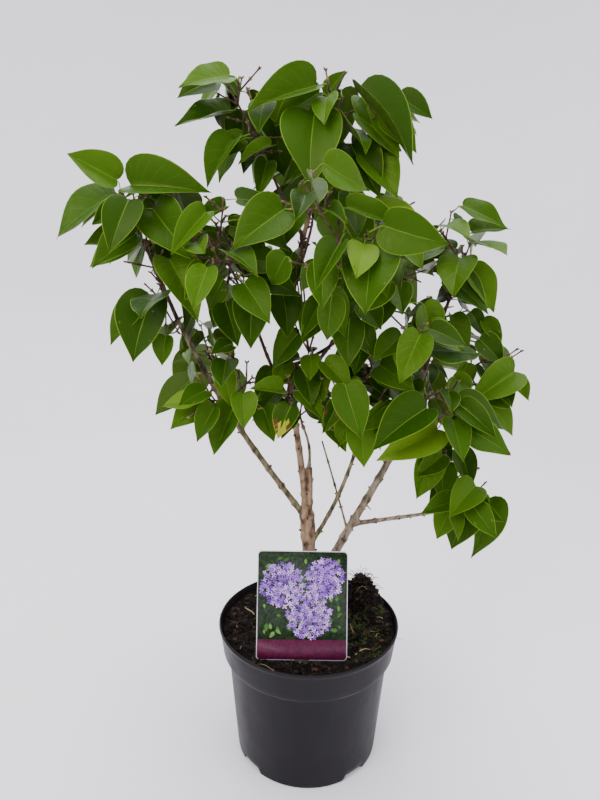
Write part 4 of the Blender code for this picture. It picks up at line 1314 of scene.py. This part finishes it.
def leader_tip(materials):
    """The bud scales and side spurs that crowd the leader where its last year's growth began."""
    pile = Pile()
    rng = random.Random(5)
    line = limb_line("trunk")
    shares = [low + gap * step for low, gap, count in LEADER_SCALES for step in range(count)]
    for number, share in enumerate(shares):
        heading, point = line_heading(line, share), line_point(line, share)
        out = outward(heading, number * SCALE_TURN + rng.uniform(-0.3, 0.3))
        place = point + out * (trunk_radius(point) * 0.75)
        way = (heading + out * 0.9).normalized()
        pile.add(*bud_mesh(place, way, rng.uniform(0.003, 0.007), BUD_RADIUS), 0)
    pile.piece("leader_scales", [materials["bark dark"]], "bark")


def heap_share(x, y):
    """How much of its height the heap has here."""
    return math.exp(-(((x - HEAP_PLACE.x) ** 2 + (y - HEAP_PLACE.y) ** 2) / HEAP_WIDTH**2))


def soil_height(x, y):
    """Flat round the trunk's foot, rippled further out, with one heap at the back right."""
    rough = min(max((math.hypot(x, y) - SOIL_FLAT_RADIUS) / SOIL_FLAT_RADIUS, 0), 1)
    ripple = math.sin(x * 140 + 1) * math.cos(y * 120) + 0.6 * math.sin(x * 60 - y * 230)
    return SOIL_TOP + rough * SOIL_RIPPLE * ripple * 0.5 + HEAP_HEIGHT * heap_share(x, y) * rough


def evenly(low, high, steps):
    """Points in equal steps from low, which is left out, to high."""
    return [tuple(Vector(low).lerp(Vector(high), step / steps)) for step in range(1, steps + 1)]


def smooth_step(low, high, value):
    share = min(max((value - low) / (high - low), 0), 1)
    return share * share * (3 - 2 * share)


def pot_profile():
    """From the middle of the underside, up the outside, over the rim and down the inside."""
    shelf = POT_HEIGHT - COLLAR_HEIGHT
    profile = [(0, 0), (BASE_RADIUS * 0.5, 0), (BASE_RADIUS - 0.012, 0), (BASE_RADIUS - 0.0028, 0)]
    profile += [(BASE_RADIUS - 0.0011, 0.0004), (BASE_RADIUS - 0.0003, 0.0014), (BASE_RADIUS, 0.003)]
    profile += evenly((BASE_RADIUS, 0.003), (BODY_TOP_RADIUS, shelf - 0.007), 22)
    for out, up in ((0.0002, -0.0052), (0.0007, -0.0038), (0.0019, -0.0022), (0.0036, -0.0008)):
        profile.append((BODY_TOP_RADIUS + out, shelf + up))
    for out, up in ((-0.0022, 0.0006), (-0.0009, 0.0022), (-0.0002, 0.0042)):
        profile.append((COLLAR_FOOT_RADIUS + out, shelf + up))
    profile += evenly((COLLAR_FOOT_RADIUS, shelf + 0.0062), (RIM_RADIUS - 0.0002, POT_HEIGHT - 0.0042), 8)
    for out, down in RIM_SHAPE:
        profile.append((RIM_RADIUS + out, POT_HEIGHT - down))
    profile += [(COLLAR_FOOT_RADIUS - WALL, shelf + WALL), (BODY_TOP_RADIUS - WALL, shelf + WALL)]
    return profile + [(BASE_RADIUS - WALL, INNER_FLOOR), (0, INNER_FLOOR)]


def notch_rise(bearing):
    """How far the pot's foot is raised here: its drain notches have round ends."""
    half = math.degrees(NOTCH_WIDTH / 2 / BASE_RADIUS)
    off = min(abs((math.degrees(bearing) - middle + 180) % 360 - 180) for middle in NOTCH_BEARINGS)
    return NOTCH_HEIGHT * (1 - smooth_step(half - 2.4, half + 0.4, off))


def turned_mesh(profile, sides, shape):
    """A solid turned about Z, whose points go through shape(radius, z, bearing)."""
    verts, faces, rings = [], [], []
    for radius, z in profile:
        count = 1 if radius == 0 else sides
        rings.append(range(len(verts), len(verts) + count))
        verts += [shape(radius, z, 2 * math.pi * side / sides) for side in range(count)]
    for low, high in zip(rings, rings[1:]):
        for side in range(sides):
            ends = (low, side), (low, side + 1), (high, side + 1), (high, side)
            faces.append(tuple(dict.fromkeys(ring[place % len(ring)] for ring, place in ends)))
    return verts, faces


def turned_piece(name, profile, sides, shape, finish, slot):
    """A solid turned about Z, whose points go through shape(radius, z, bearing), as one piece."""
    pile = Pile()
    pile.add(*turned_mesh(profile, sides, shape), 0)
    pile.piece(name, [finish], slot, slot)


def on_circle(radius, bearing):
    return radius * math.cos(bearing), radius * math.sin(bearing)


def pot_point(radius, z, bearing):
    rise = notch_rise(bearing)
    if radius > BASE_RADIUS - NOTCH_DEPTH and z < rise:
        z = rise + z * 0.1
    uneven = 0.00025 * math.sin(3 * bearing + 0.6) * smooth_step(0.02, 0.16, z)
    radius += uneven if radius > BASE_RADIUS * 0.8 else 0
    return *on_circle(radius, bearing), z


def soil_surface(x, y):
    """The soil's height here, with clods and grains on the part's own surface."""
    place = Vector((x, y, 0.3))
    clods = sum(noise.noise(place * scale) * height for scale, height in SOIL_CLODS)
    lumps = noise.noise(place * HEAP_LUMPS[0]) * HEAP_LUMPS[1] * heap_share(x, y)
    across, along = (x - BANK_PLACE[0]) / BANK_SIZE[0], (y - BANK_PLACE[1]) / BANK_SIZE[1]
    bank = BANK_HEIGHT * math.exp(-across * across - along * along)
    rough = smooth_step(*SOIL_ROUGH_FROM, math.hypot(x, y))
    return soil_height(x, y) + (clods + lumps + bank) * rough


def soil_point(radius, z, bearing):
    x, y = on_circle(radius, bearing)
    if z < SOIL_TOP:
        return x, y, z
    height = soil_surface(x, y)
    at_edge = smooth_step(SOIL_EVEN_FROM, 1, radius / SOIL_EDGE)
    return x, y, height + (min(height, SOIL_EDGE_TOP) - height) * at_edge


def soil_profile():
    """From the middle of its underside, up inside the pot's wall and its shelf, and back to the middle."""
    radii = [radius - WALL - GAP for radius in (BASE_RADIUS, BODY_TOP_RADIUS, COLLAR_FOOT_RADIUS)]
    profile = [(0, SOIL_FLOOR), (radii[0], SOIL_FLOOR), (radii[1], SOIL_SHELF), (radii[2], SOIL_SHELF)]
    rings = SOIL_FINE_RINGS
    return profile + [(SOIL_EDGE * (rings - ring) / rings, SOIL_TOP) for ring in range(rings + 1)]


def soil_at(x, y):
    """The place on the soil's surface above or below this point."""
    return Vector((x, y, soil_point(math.hypot(x, y), SOIL_TOP, math.atan2(y, x))[2]))


def clod_mesh(place, size, rng):
    """An uneven clod: two rings of points between two poles, all drawn in or out."""
    verts = [place + Vector((0, 0, -size * 0.7)), place + Vector((0, 0, size * rng.uniform(0.5, 0.9)))]
    turn = rng.uniform(0, 6)
    stretch = rng.uniform(0.7, 1.5)
    for height in (-0.3, 0.4):
        for side in range(5):
            x, y = on_circle(size * rng.uniform(0.65, 1.1), turn + 2 * math.pi * side / 5 + height)
            verts.append(place + Vector((x * stretch, y, size * height)))
    faces = []
    for side in range(5):
        after = (side + 1) % 5
        faces += [(0, 2 + after, 2 + side), (1, 7 + side, 7 + after)]
        faces.append((2 + side, 2 + after, 7 + after, 7 + side))
    return verts, faces


def soil_place(rng):
    """A place on the soil, clear of the trunk."""
    while True:
        x, y = on_circle((SOIL_EDGE - 0.003) * math.sqrt(rng.random()), rng.uniform(0, 2 * math.pi))
        if math.hypot(x - TRUNK_FOOT.x, y - TRUNK_FOOT.y) > TRUNK_ROOM:
            return soil_at(x, y)


def fibre_mesh(place, length, lift, radius, rng):
    """A bent fibre that lies on the soil, or stands up from it by lift."""
    turn = rng.uniform(0, 2 * math.pi)
    points = []
    for step in range(5):
        turn += rng.uniform(-0.5, 0.5)
        run = Vector((*on_circle(length / 4, turn), 0))
        points.append(points[-1] + run if points else place.copy())
        points[-1].z = place.z + 0.0006 + lift * length * math.sin(math.pi * step / 4 * 0.8)
    return tube_mesh(points, [radius * (1 - 0.15 * step) for step in range(5)], 4)


def near_heap(rng):
    """A place on the heap or close to it."""
    x = HEAP_PLACE.x + rng.gauss(0, HEAP_SPREAD)
    y = HEAP_PLACE.y + rng.gauss(0, HEAP_SPREAD)
    inwards = min(1, (SOIL_EDGE - SOIL_EDGE_ROOM) / math.hypot(x, y))
    return soil_at(x * inwards, y * inwards)


def litter_place(number, every, rng):
    """Every so many'th bit of litter lies near the heap, and the others anywhere."""
    return near_heap(rng) if number % every == 0 else soil_place(rng)


def soil_crumbs(materials, rng):
    crumbs = Pile()
    for number in range(CRUMBS):
        place = litter_place(number, 9, rng)
        size = CRUMB_SIZE[0] + CRUMB_SIZE[1] * rng.random() ** 3
        crumbs.add(*clod_mesh(place, size, rng), rng.choices((0, 1, 2), CRUMB_WEIGHTS)[0])
    crumbs.piece("soil_crumbs", [materials[name] for name in ("peat", "peat brown", "peat red")], "soil")


def soil_fibres(materials, rng):
    fibres = Pile()
    for number in range(FIBRES):
        at_heap = number % 4 == 0
        place = litter_place(number, 4, rng)
        lift = rng.uniform(0.2, 0.8) if at_heap else rng.uniform(0, 0.25)
        length = rng.uniform(0.006, 0.018 if at_heap else 0.024)
        slot = rng.choices((0, 1, 2), FIBRE_WEIGHTS)[0]
        fibres.add(*fibre_mesh(place, length, lift, rng.uniform(*FIBRE_RADIUS), rng), slot)
    for x, y in STRAWS:
        place = soil_at(x, y) + Vector((0, 0, 0.001))
        fibres.add(*fibre_mesh(place, *STRAW_SIZE, rng), 3)
    looks = [materials[name] for name in ("peat brown", "peat red", "straw", "straw")]
    fibres.piece("soil_fibres", looks, "soil")


def soil_chips(materials, rng):
    chips = Pile()
    for number in range(CHIPS):
        place = litter_place(number, 3, rng)
        way = Vector((rng.gauss(0, 1), rng.gauss(0, 1), rng.gauss(0, 0.5))).normalized()
        points = [place + way * (step * rng.uniform(0.002, 0.0035)) for step in range(3)]
        width = rng.uniform(0.0008, 0.0022)
        chips.add(*tube_mesh(points, [width * 0.5, width, width * 0.4], 5), rng.randrange(2))
    chips.piece("soil_chips", [materials["peat brown"], materials["peat red"]], "soil")


def soil_moss(materials, rng):
    moss = Pile()
    for _ in range(MOSS_TUFTS):
        x, y = (middle + rng.gauss(0, spread) for middle, spread in zip(MOSS_PLACE, MOSS_SPREAD))
        if math.hypot(x, y) > SOIL_EDGE - SOIL_EDGE_ROOM:
            continue
        tuft = soil_at(x, y)
        for _ in range(MOSS_BLADES):
            way = Vector((rng.gauss(0, 0.6), rng.gauss(0, 0.6), 1)).normalized()
            place = tuft + Vector((rng.gauss(0, 0.0016), rng.gauss(0, 0.0016), -0.0004))
            tall = rng.uniform(*MOSS_HEIGHT)
            points = [place + way * (tall * step / 2) for step in range(3)]
            moss.add(*tube_mesh(points, MOSS_RADII, 3), 0)
    moss.piece("soil_moss", [materials["moss"]], "soil")


def soil_litter(materials):
    """Peat crumbs, fibres with a little straw, bark chips and moss on the soil, each kind one piece."""
    rng = random.Random(11)
    for make in (soil_crumbs, soil_fibres, soil_chips, soil_moss):
        make(materials, rng)


def card_outline(inset, corner):
    """The card's outline with round corners, drawn in by inset, without its stake."""
    half, tall = CARD_WIDTH / 2 - inset, CARD_HEIGHT - inset
    outline = []
    for x, z, first in (
        (half - corner, tall - corner, 0), (corner - half, tall - corner, 90),
        (corner - half, corner + inset, 180), (half - corner, corner + inset, 270),
    ):
        for step in range(9):
            out, up = on_circle(corner, math.radians(first + 90 * step / 8))
            outline.append((x + out, z + up))
    return outline


def on_card(verts):
    """Points beside the upright card, moved to where it leans in the soil."""
    place = Matrix.Translation(CARD_FOOT) @ Matrix.Rotation(-CARD_LEAN, 4, "X")
    return [place @ Vector(vert) for vert in verts]


def add_plate(pile, outline, front, back, slot):
    """A thin plate in the card's own plane, from one depth to another."""
    count = len(outline)
    verts = [(x, depth, z) for depth in (front, back) for x, z in outline]
    faces = [tuple(range(count)), tuple(reversed(range(count, 2 * count)))]
    for index in range(count):
        after = (index + 1) % count
        faces.append((index, index + count, after + count, after))
    pile.add(on_card(verts), faces, slot)


def card_sheet(materials):
    """The card with its stake, the dark field of its print and the deep band across its foot."""
    sheet = Pile()
    stake = [(-STAKE_WIDTH / 4, -STAKE_LENGTH), (STAKE_WIDTH / 4, -STAKE_LENGTH)]
    stake += [(STAKE_WIDTH / 2, 0.001), (-STAKE_WIDTH / 2, 0.001)]
    band = dict.fromkeys((x, min(z, BAND_TOP)) for x, z in card_outline(0.0010, PRINT_CORNER))
    add_plate(sheet, card_outline(0, CARD_CORNER), CARD_FRONT, -CARD_FRONT, 0)
    add_plate(sheet, stake, CARD_FRONT, -CARD_FRONT, 1)
    add_plate(sheet, card_outline(0.0009, PRINT_CORNER), FIELD_FRONT, CARD_FRONT, 1)
    add_plate(sheet, list(band), BAND_FRONT, CARD_FRONT - 0.00005, 2)
    looks = [materials[name] for name in ("card white", "card field", "card band")]
    sheet.piece("card_sheet", looks, "card", "card")


def card_leaves(materials, rng):
    """The print's leaves, scattered over its field wherever one fits on it."""
    leaves = Pile()
    for _ in range(PRINT_LEAVES):
        x, z = rng.uniform(-0.046, 0.046), rng.uniform(0.032, 0.120)
        angle, size = rng.uniform(0, 2 * math.pi), rng.uniform(0.005, 0.010)
        right, up = on_circle(size, angle)
        blade = [
            (x + right * along - up * out, PRINT_FRONT, z + up * along + right * out)
            for along, out in PRINT_BLADE
        ]
        if all(abs(vert[0]) < CARD_WIDTH / 2 - 0.003 and vert[2] < CARD_HEIGHT - 0.003 for vert in blade):
            leaves.add(on_card(blade), [tuple(range(6))], rng.randrange(2))
    leaves.piece("card_leaves", [materials["card leaf"], materials["card leaf light"]], "card")


def floret_mesh(x, z, depth, size, turn, rng):
    """A small four-petalled floret that stands just proud of the card's face."""
    verts = [(x, depth - 0.00010, z)]
    faces = []
    for petal in range(4):
        for off, far in ((-0.45, 0.55), (-0.28, 0.92), (0.0, 1.05), (0.28, 0.92), (0.45, 0.55)):
            right, up = on_circle(size * far * rng.uniform(0.94, 1.06), turn + petal * math.pi / 2 + off)
            verts.append((x + right, depth, z + up))
        last = 5 + petal * 5
        faces.append((last, last - 1, last - 2, last - 3, last - 4, 0))
    return verts, faces


def card_florets(materials, rng):
    """The print's round flower heads: florets in a spiral, those in the middle proudest."""
    florets = Pile()
    for x, z, radius in CARD_CLUSTERS:
        for number in range(FLORETS):
            share = math.sqrt((number + 0.5) / FLORETS)
            right, up = on_circle(radius * share, number * FLORET_TURN + rng.uniform(-0.2, 0.2))
            depth = FLORET_FRONT - FLORET_DEPTH * (1 - share) * rng.random()
            size, turn = rng.uniform(0.0022, 0.0034), rng.uniform(0, 1.5)
            verts, faces = floret_mesh(x + right, z + up, depth, size, turn, rng)
            florets.add(on_card(verts), faces, rng.choices((0, 1, 2), (0.3, 0.45, 0.25))[0])
    looks = [materials[name] for name in ("floret pale", "floret", "floret deep")]
    florets.piece("card_florets", looks, "card")


def card_pieces(materials):
    """A printed card: a dark field with leaves and round flower heads, and a deep band below."""
    rng = random.Random(23)
    card_sheet(materials)
    card_leaves(materials, rng)
    card_florets(materials, rng)


def nodes_of(name):
    """A new material with its node tree and its Principled shader."""
    made = bpy.data.materials.new(name)
    made.use_nodes = True
    return made, made.node_tree, made.node_tree.nodes["Principled BSDF"]


def pattern_node(tree, scale, stretch, detail=4.0, kind="ShaderNodeTexNoise"):
    """A noise or cell pattern in the object's own space, stretched along its axes."""
    place = tree.nodes.new("ShaderNodeTexCoord")
    mapping = tree.nodes.new("ShaderNodeMapping")
    mapping.inputs["Scale"].default_value = stretch
    pattern = tree.nodes.new(kind)
    pattern.inputs["Scale"].default_value = scale
    if kind == "ShaderNodeTexNoise":
        pattern.inputs["Detail"].default_value = detail
    tree.links.new(place.outputs["Object"], mapping.inputs["Vector"])
    tree.links.new(mapping.outputs["Vector"], pattern.inputs["Vector"])
    return pattern.outputs["Fac" if kind == "ShaderNodeTexNoise" else "Distance"]


def ramp_node(tree, value, stops):
    ramp = tree.nodes.new("ShaderNodeValToRGB")
    elements = ramp.color_ramp.elements
    while len(elements) < len(stops):
        elements.new(0.5)
    for element, (place, colour) in zip(elements, stops):
        element.position = place
        element.color = (*colour, 1)
    tree.links.new(value, ramp.inputs["Fac"])
    return ramp.outputs["Color"]


def add_bump(tree, shader, layers):
    """Bumps of several scales, each (pattern, height in metres), one on top of another."""
    normal = None
    for value, height in layers:
        bump = tree.nodes.new("ShaderNodeBump")
        bump.inputs["Distance"].default_value = height
        tree.links.new(value, bump.inputs["Height"])
        if normal:
            tree.links.new(normal, bump.inputs["Normal"])
        normal = bump.outputs["Normal"]
    tree.links.new(normal, shader.inputs["Normal"])


def add_roughness(tree, shader, value, low, high):
    stops = ((0.35, (low,) * 3), (0.65, (high,) * 3))
    tree.links.new(ramp_node(tree, value, stops), shader.inputs["Roughness"])


def leaf_material(name, colour):
    """A plain leaf colour with a satin, finely pitted surface."""
    made, tree, shader = nodes_of(name)
    shader.inputs["Base Color"].default_value = (*colour, 1)
    shader.inputs["Specular IOR Level"].default_value = LEAF_SHINE
    shader.inputs["Specular Tint"].default_value = LEAF_SHINE_TINT
    add_roughness(tree, shader, pattern_node(tree, 160, EVEN), *LEAF_ROUGHNESS)
    cells = pattern_node(tree, 700, EVEN, kind="ShaderNodeTexVoronoi")
    add_bump(tree, shader, ((pattern_node(tree, 260, EVEN), 0.00035), (cells, 0.00008)))
    return made


def mottled(name, stops, scale, stretch, roughness, layers, shine):
    """A surface whose colour runs through these stops in patches, with bumps (scale, stretch, height)."""
    made, tree, shader = nodes_of(name)
    patches = pattern_node(tree, scale, stretch, 6.0)
    tree.links.new(ramp_node(tree, patches, stops), shader.inputs["Base Color"])
    shader.inputs["Specular IOR Level"].default_value = shine
    add_roughness(tree, shader, pattern_node(tree, scale * 2.3, stretch), *roughness)
    bumps = [(pattern_node(tree, size, along), height) for size, along, height in layers]
    add_bump(tree, shader, bumps)
    return made


def bark_material(name, dark, middle, light):
    """Young bark: long streaks, pale dots of lenticels and fine cracks."""
    stops = ((0.34, dark), (0.47, middle), (0.60, light), (0.74, middle))
    layers = ((140, (1, 1, 0.35), 0.0010), (600, (1, 1, 0.4), 0.0004))
    return mottled(name, stops, 150, (1, 1, 0.5), (0.62, 0.85), layers, 0.25)


def make_materials():
    made = {name: leaf_material(name, colour) for name, colour in GREENS + LEAF_PARTS}
    for name, colours in BARK_COLOURS.items():
        made[name] = bark_material(name, *colours)
    for name, values in FINISHES.items():
        made[name] = mottled(name, *values)
    for name, dark, light in CARD_COLOURS:
        stops = ((0.35, dark), (0.65, light))
        made[name] = mottled(name, stops, 260, EVEN, (0.36, 0.48), ((60, EVEN, 0.0006),), 0.2)
    return made


def stage_point(radius, z, bearing):
    return *on_circle(radius, bearing), z - STAGE_SINK


def make_stage():
    """A round pale floor that bends up into a pale wall, far enough off for every view."""
    profile = [(0, 0), (0.5, 0), (1.0, 0), (STAGE_RADIUS - STAGE_BEND, 0)]
    for step in range(1, 13):
        down, out = on_circle(STAGE_BEND, math.pi / 2 * step / 12)
        profile.append((STAGE_RADIUS - STAGE_BEND + out, STAGE_BEND - down))
    profile.append((STAGE_RADIUS, STAGE_HEIGHT))
    verts, faces = turned_mesh(profile, STAGE_SIDES, stage_point)
    mesh = bpy.data.meshes.new("stage")
    mesh.from_pydata(verts, [], faces)
    mesh.shade_smooth()
    mesh.materials.append(mottled("stage paper", *STAGE_PAPER))
    add_object("stage", mesh)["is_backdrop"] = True


def make_light(name, place, aim, size, power, colour):
    data = bpy.data.lights.new(name, "AREA")
    data.shape = "RECTANGLE"
    data.size, data.size_y = size
    data.energy = power
    data.color = colour
    obj = add_object(name, data)
    obj.location = place
    obj.rotation_euler = (Vector(aim) - Vector(place)).to_track_quat("-Z", "Y").to_euler()
    obj.visible_camera = False


def make_lights():
    for values in LIGHTS:
        make_light(*values)
    world = bpy.data.worlds.new("pale room")
    world.use_nodes = True
    world.node_tree.nodes["Background"].inputs["Color"].default_value = (0.97, 0.96, 1.0, 1)
    world.node_tree.nodes["Background"].inputs["Strength"].default_value = 0.91
    bpy.context.scene.world = world


def make_camera():
    """Where the photo was taken from: above the pot's rim, looking a little down, with a wide lens."""
    data = bpy.data.cameras.new("camera")
    data.lens = 27.9
    data.sensor_width = 36
    data.sensor_fit = "AUTO"
    data.clip_start = 0.05
    obj = add_object("camera", data)
    aim = Matrix.Rotation(math.radians(90 - 13.35), 4, "X") @ Matrix.Rotation(math.radians(0.86), 4, "Z")
    obj.matrix_world = Matrix.Translation(VIEWER) @ aim
    bpy.context.scene.camera = obj


def corners(box):
    return [[float(value) for value in corner] for corner in box]


def main():
    make_camera()
    make_lights()
    make_stage()
    materials = make_materials()
    turned_piece("pot_shell", pot_profile(), POT_SEGMENTS, pot_point, materials["pot plastic"], "pot")
    turned_piece("soil_bed", soil_profile(), SOIL_SEGMENTS, soil_point, materials["peat"], "soil")
    soil_litter(materials)
    card_pieces(materials)
    for name in LIMBS:
        bark_piece(name, materials)
    leader_tip(materials)
    crown = grow_crown()
    roles = odd_leaves(crown)
    patterns = [Blade(VEINS, COLUMNS), Blade(SMALL_LEAF_VEINS, SMALL_LEAF_COLUMNS)]
    leaf_looks = [materials[name] for name, _ in GREENS + LEAF_PARTS]
    for name, (shoots, leaves) in crown.items():
        twigs_piece(name, shoots, [materials["bark dark"], materials["bud"]])
        leaves_piece(name, leaves, roles, patterns, leaf_looks)
    {"cad": corners(CAD_BOX), "looks": corners(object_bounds())}


main()
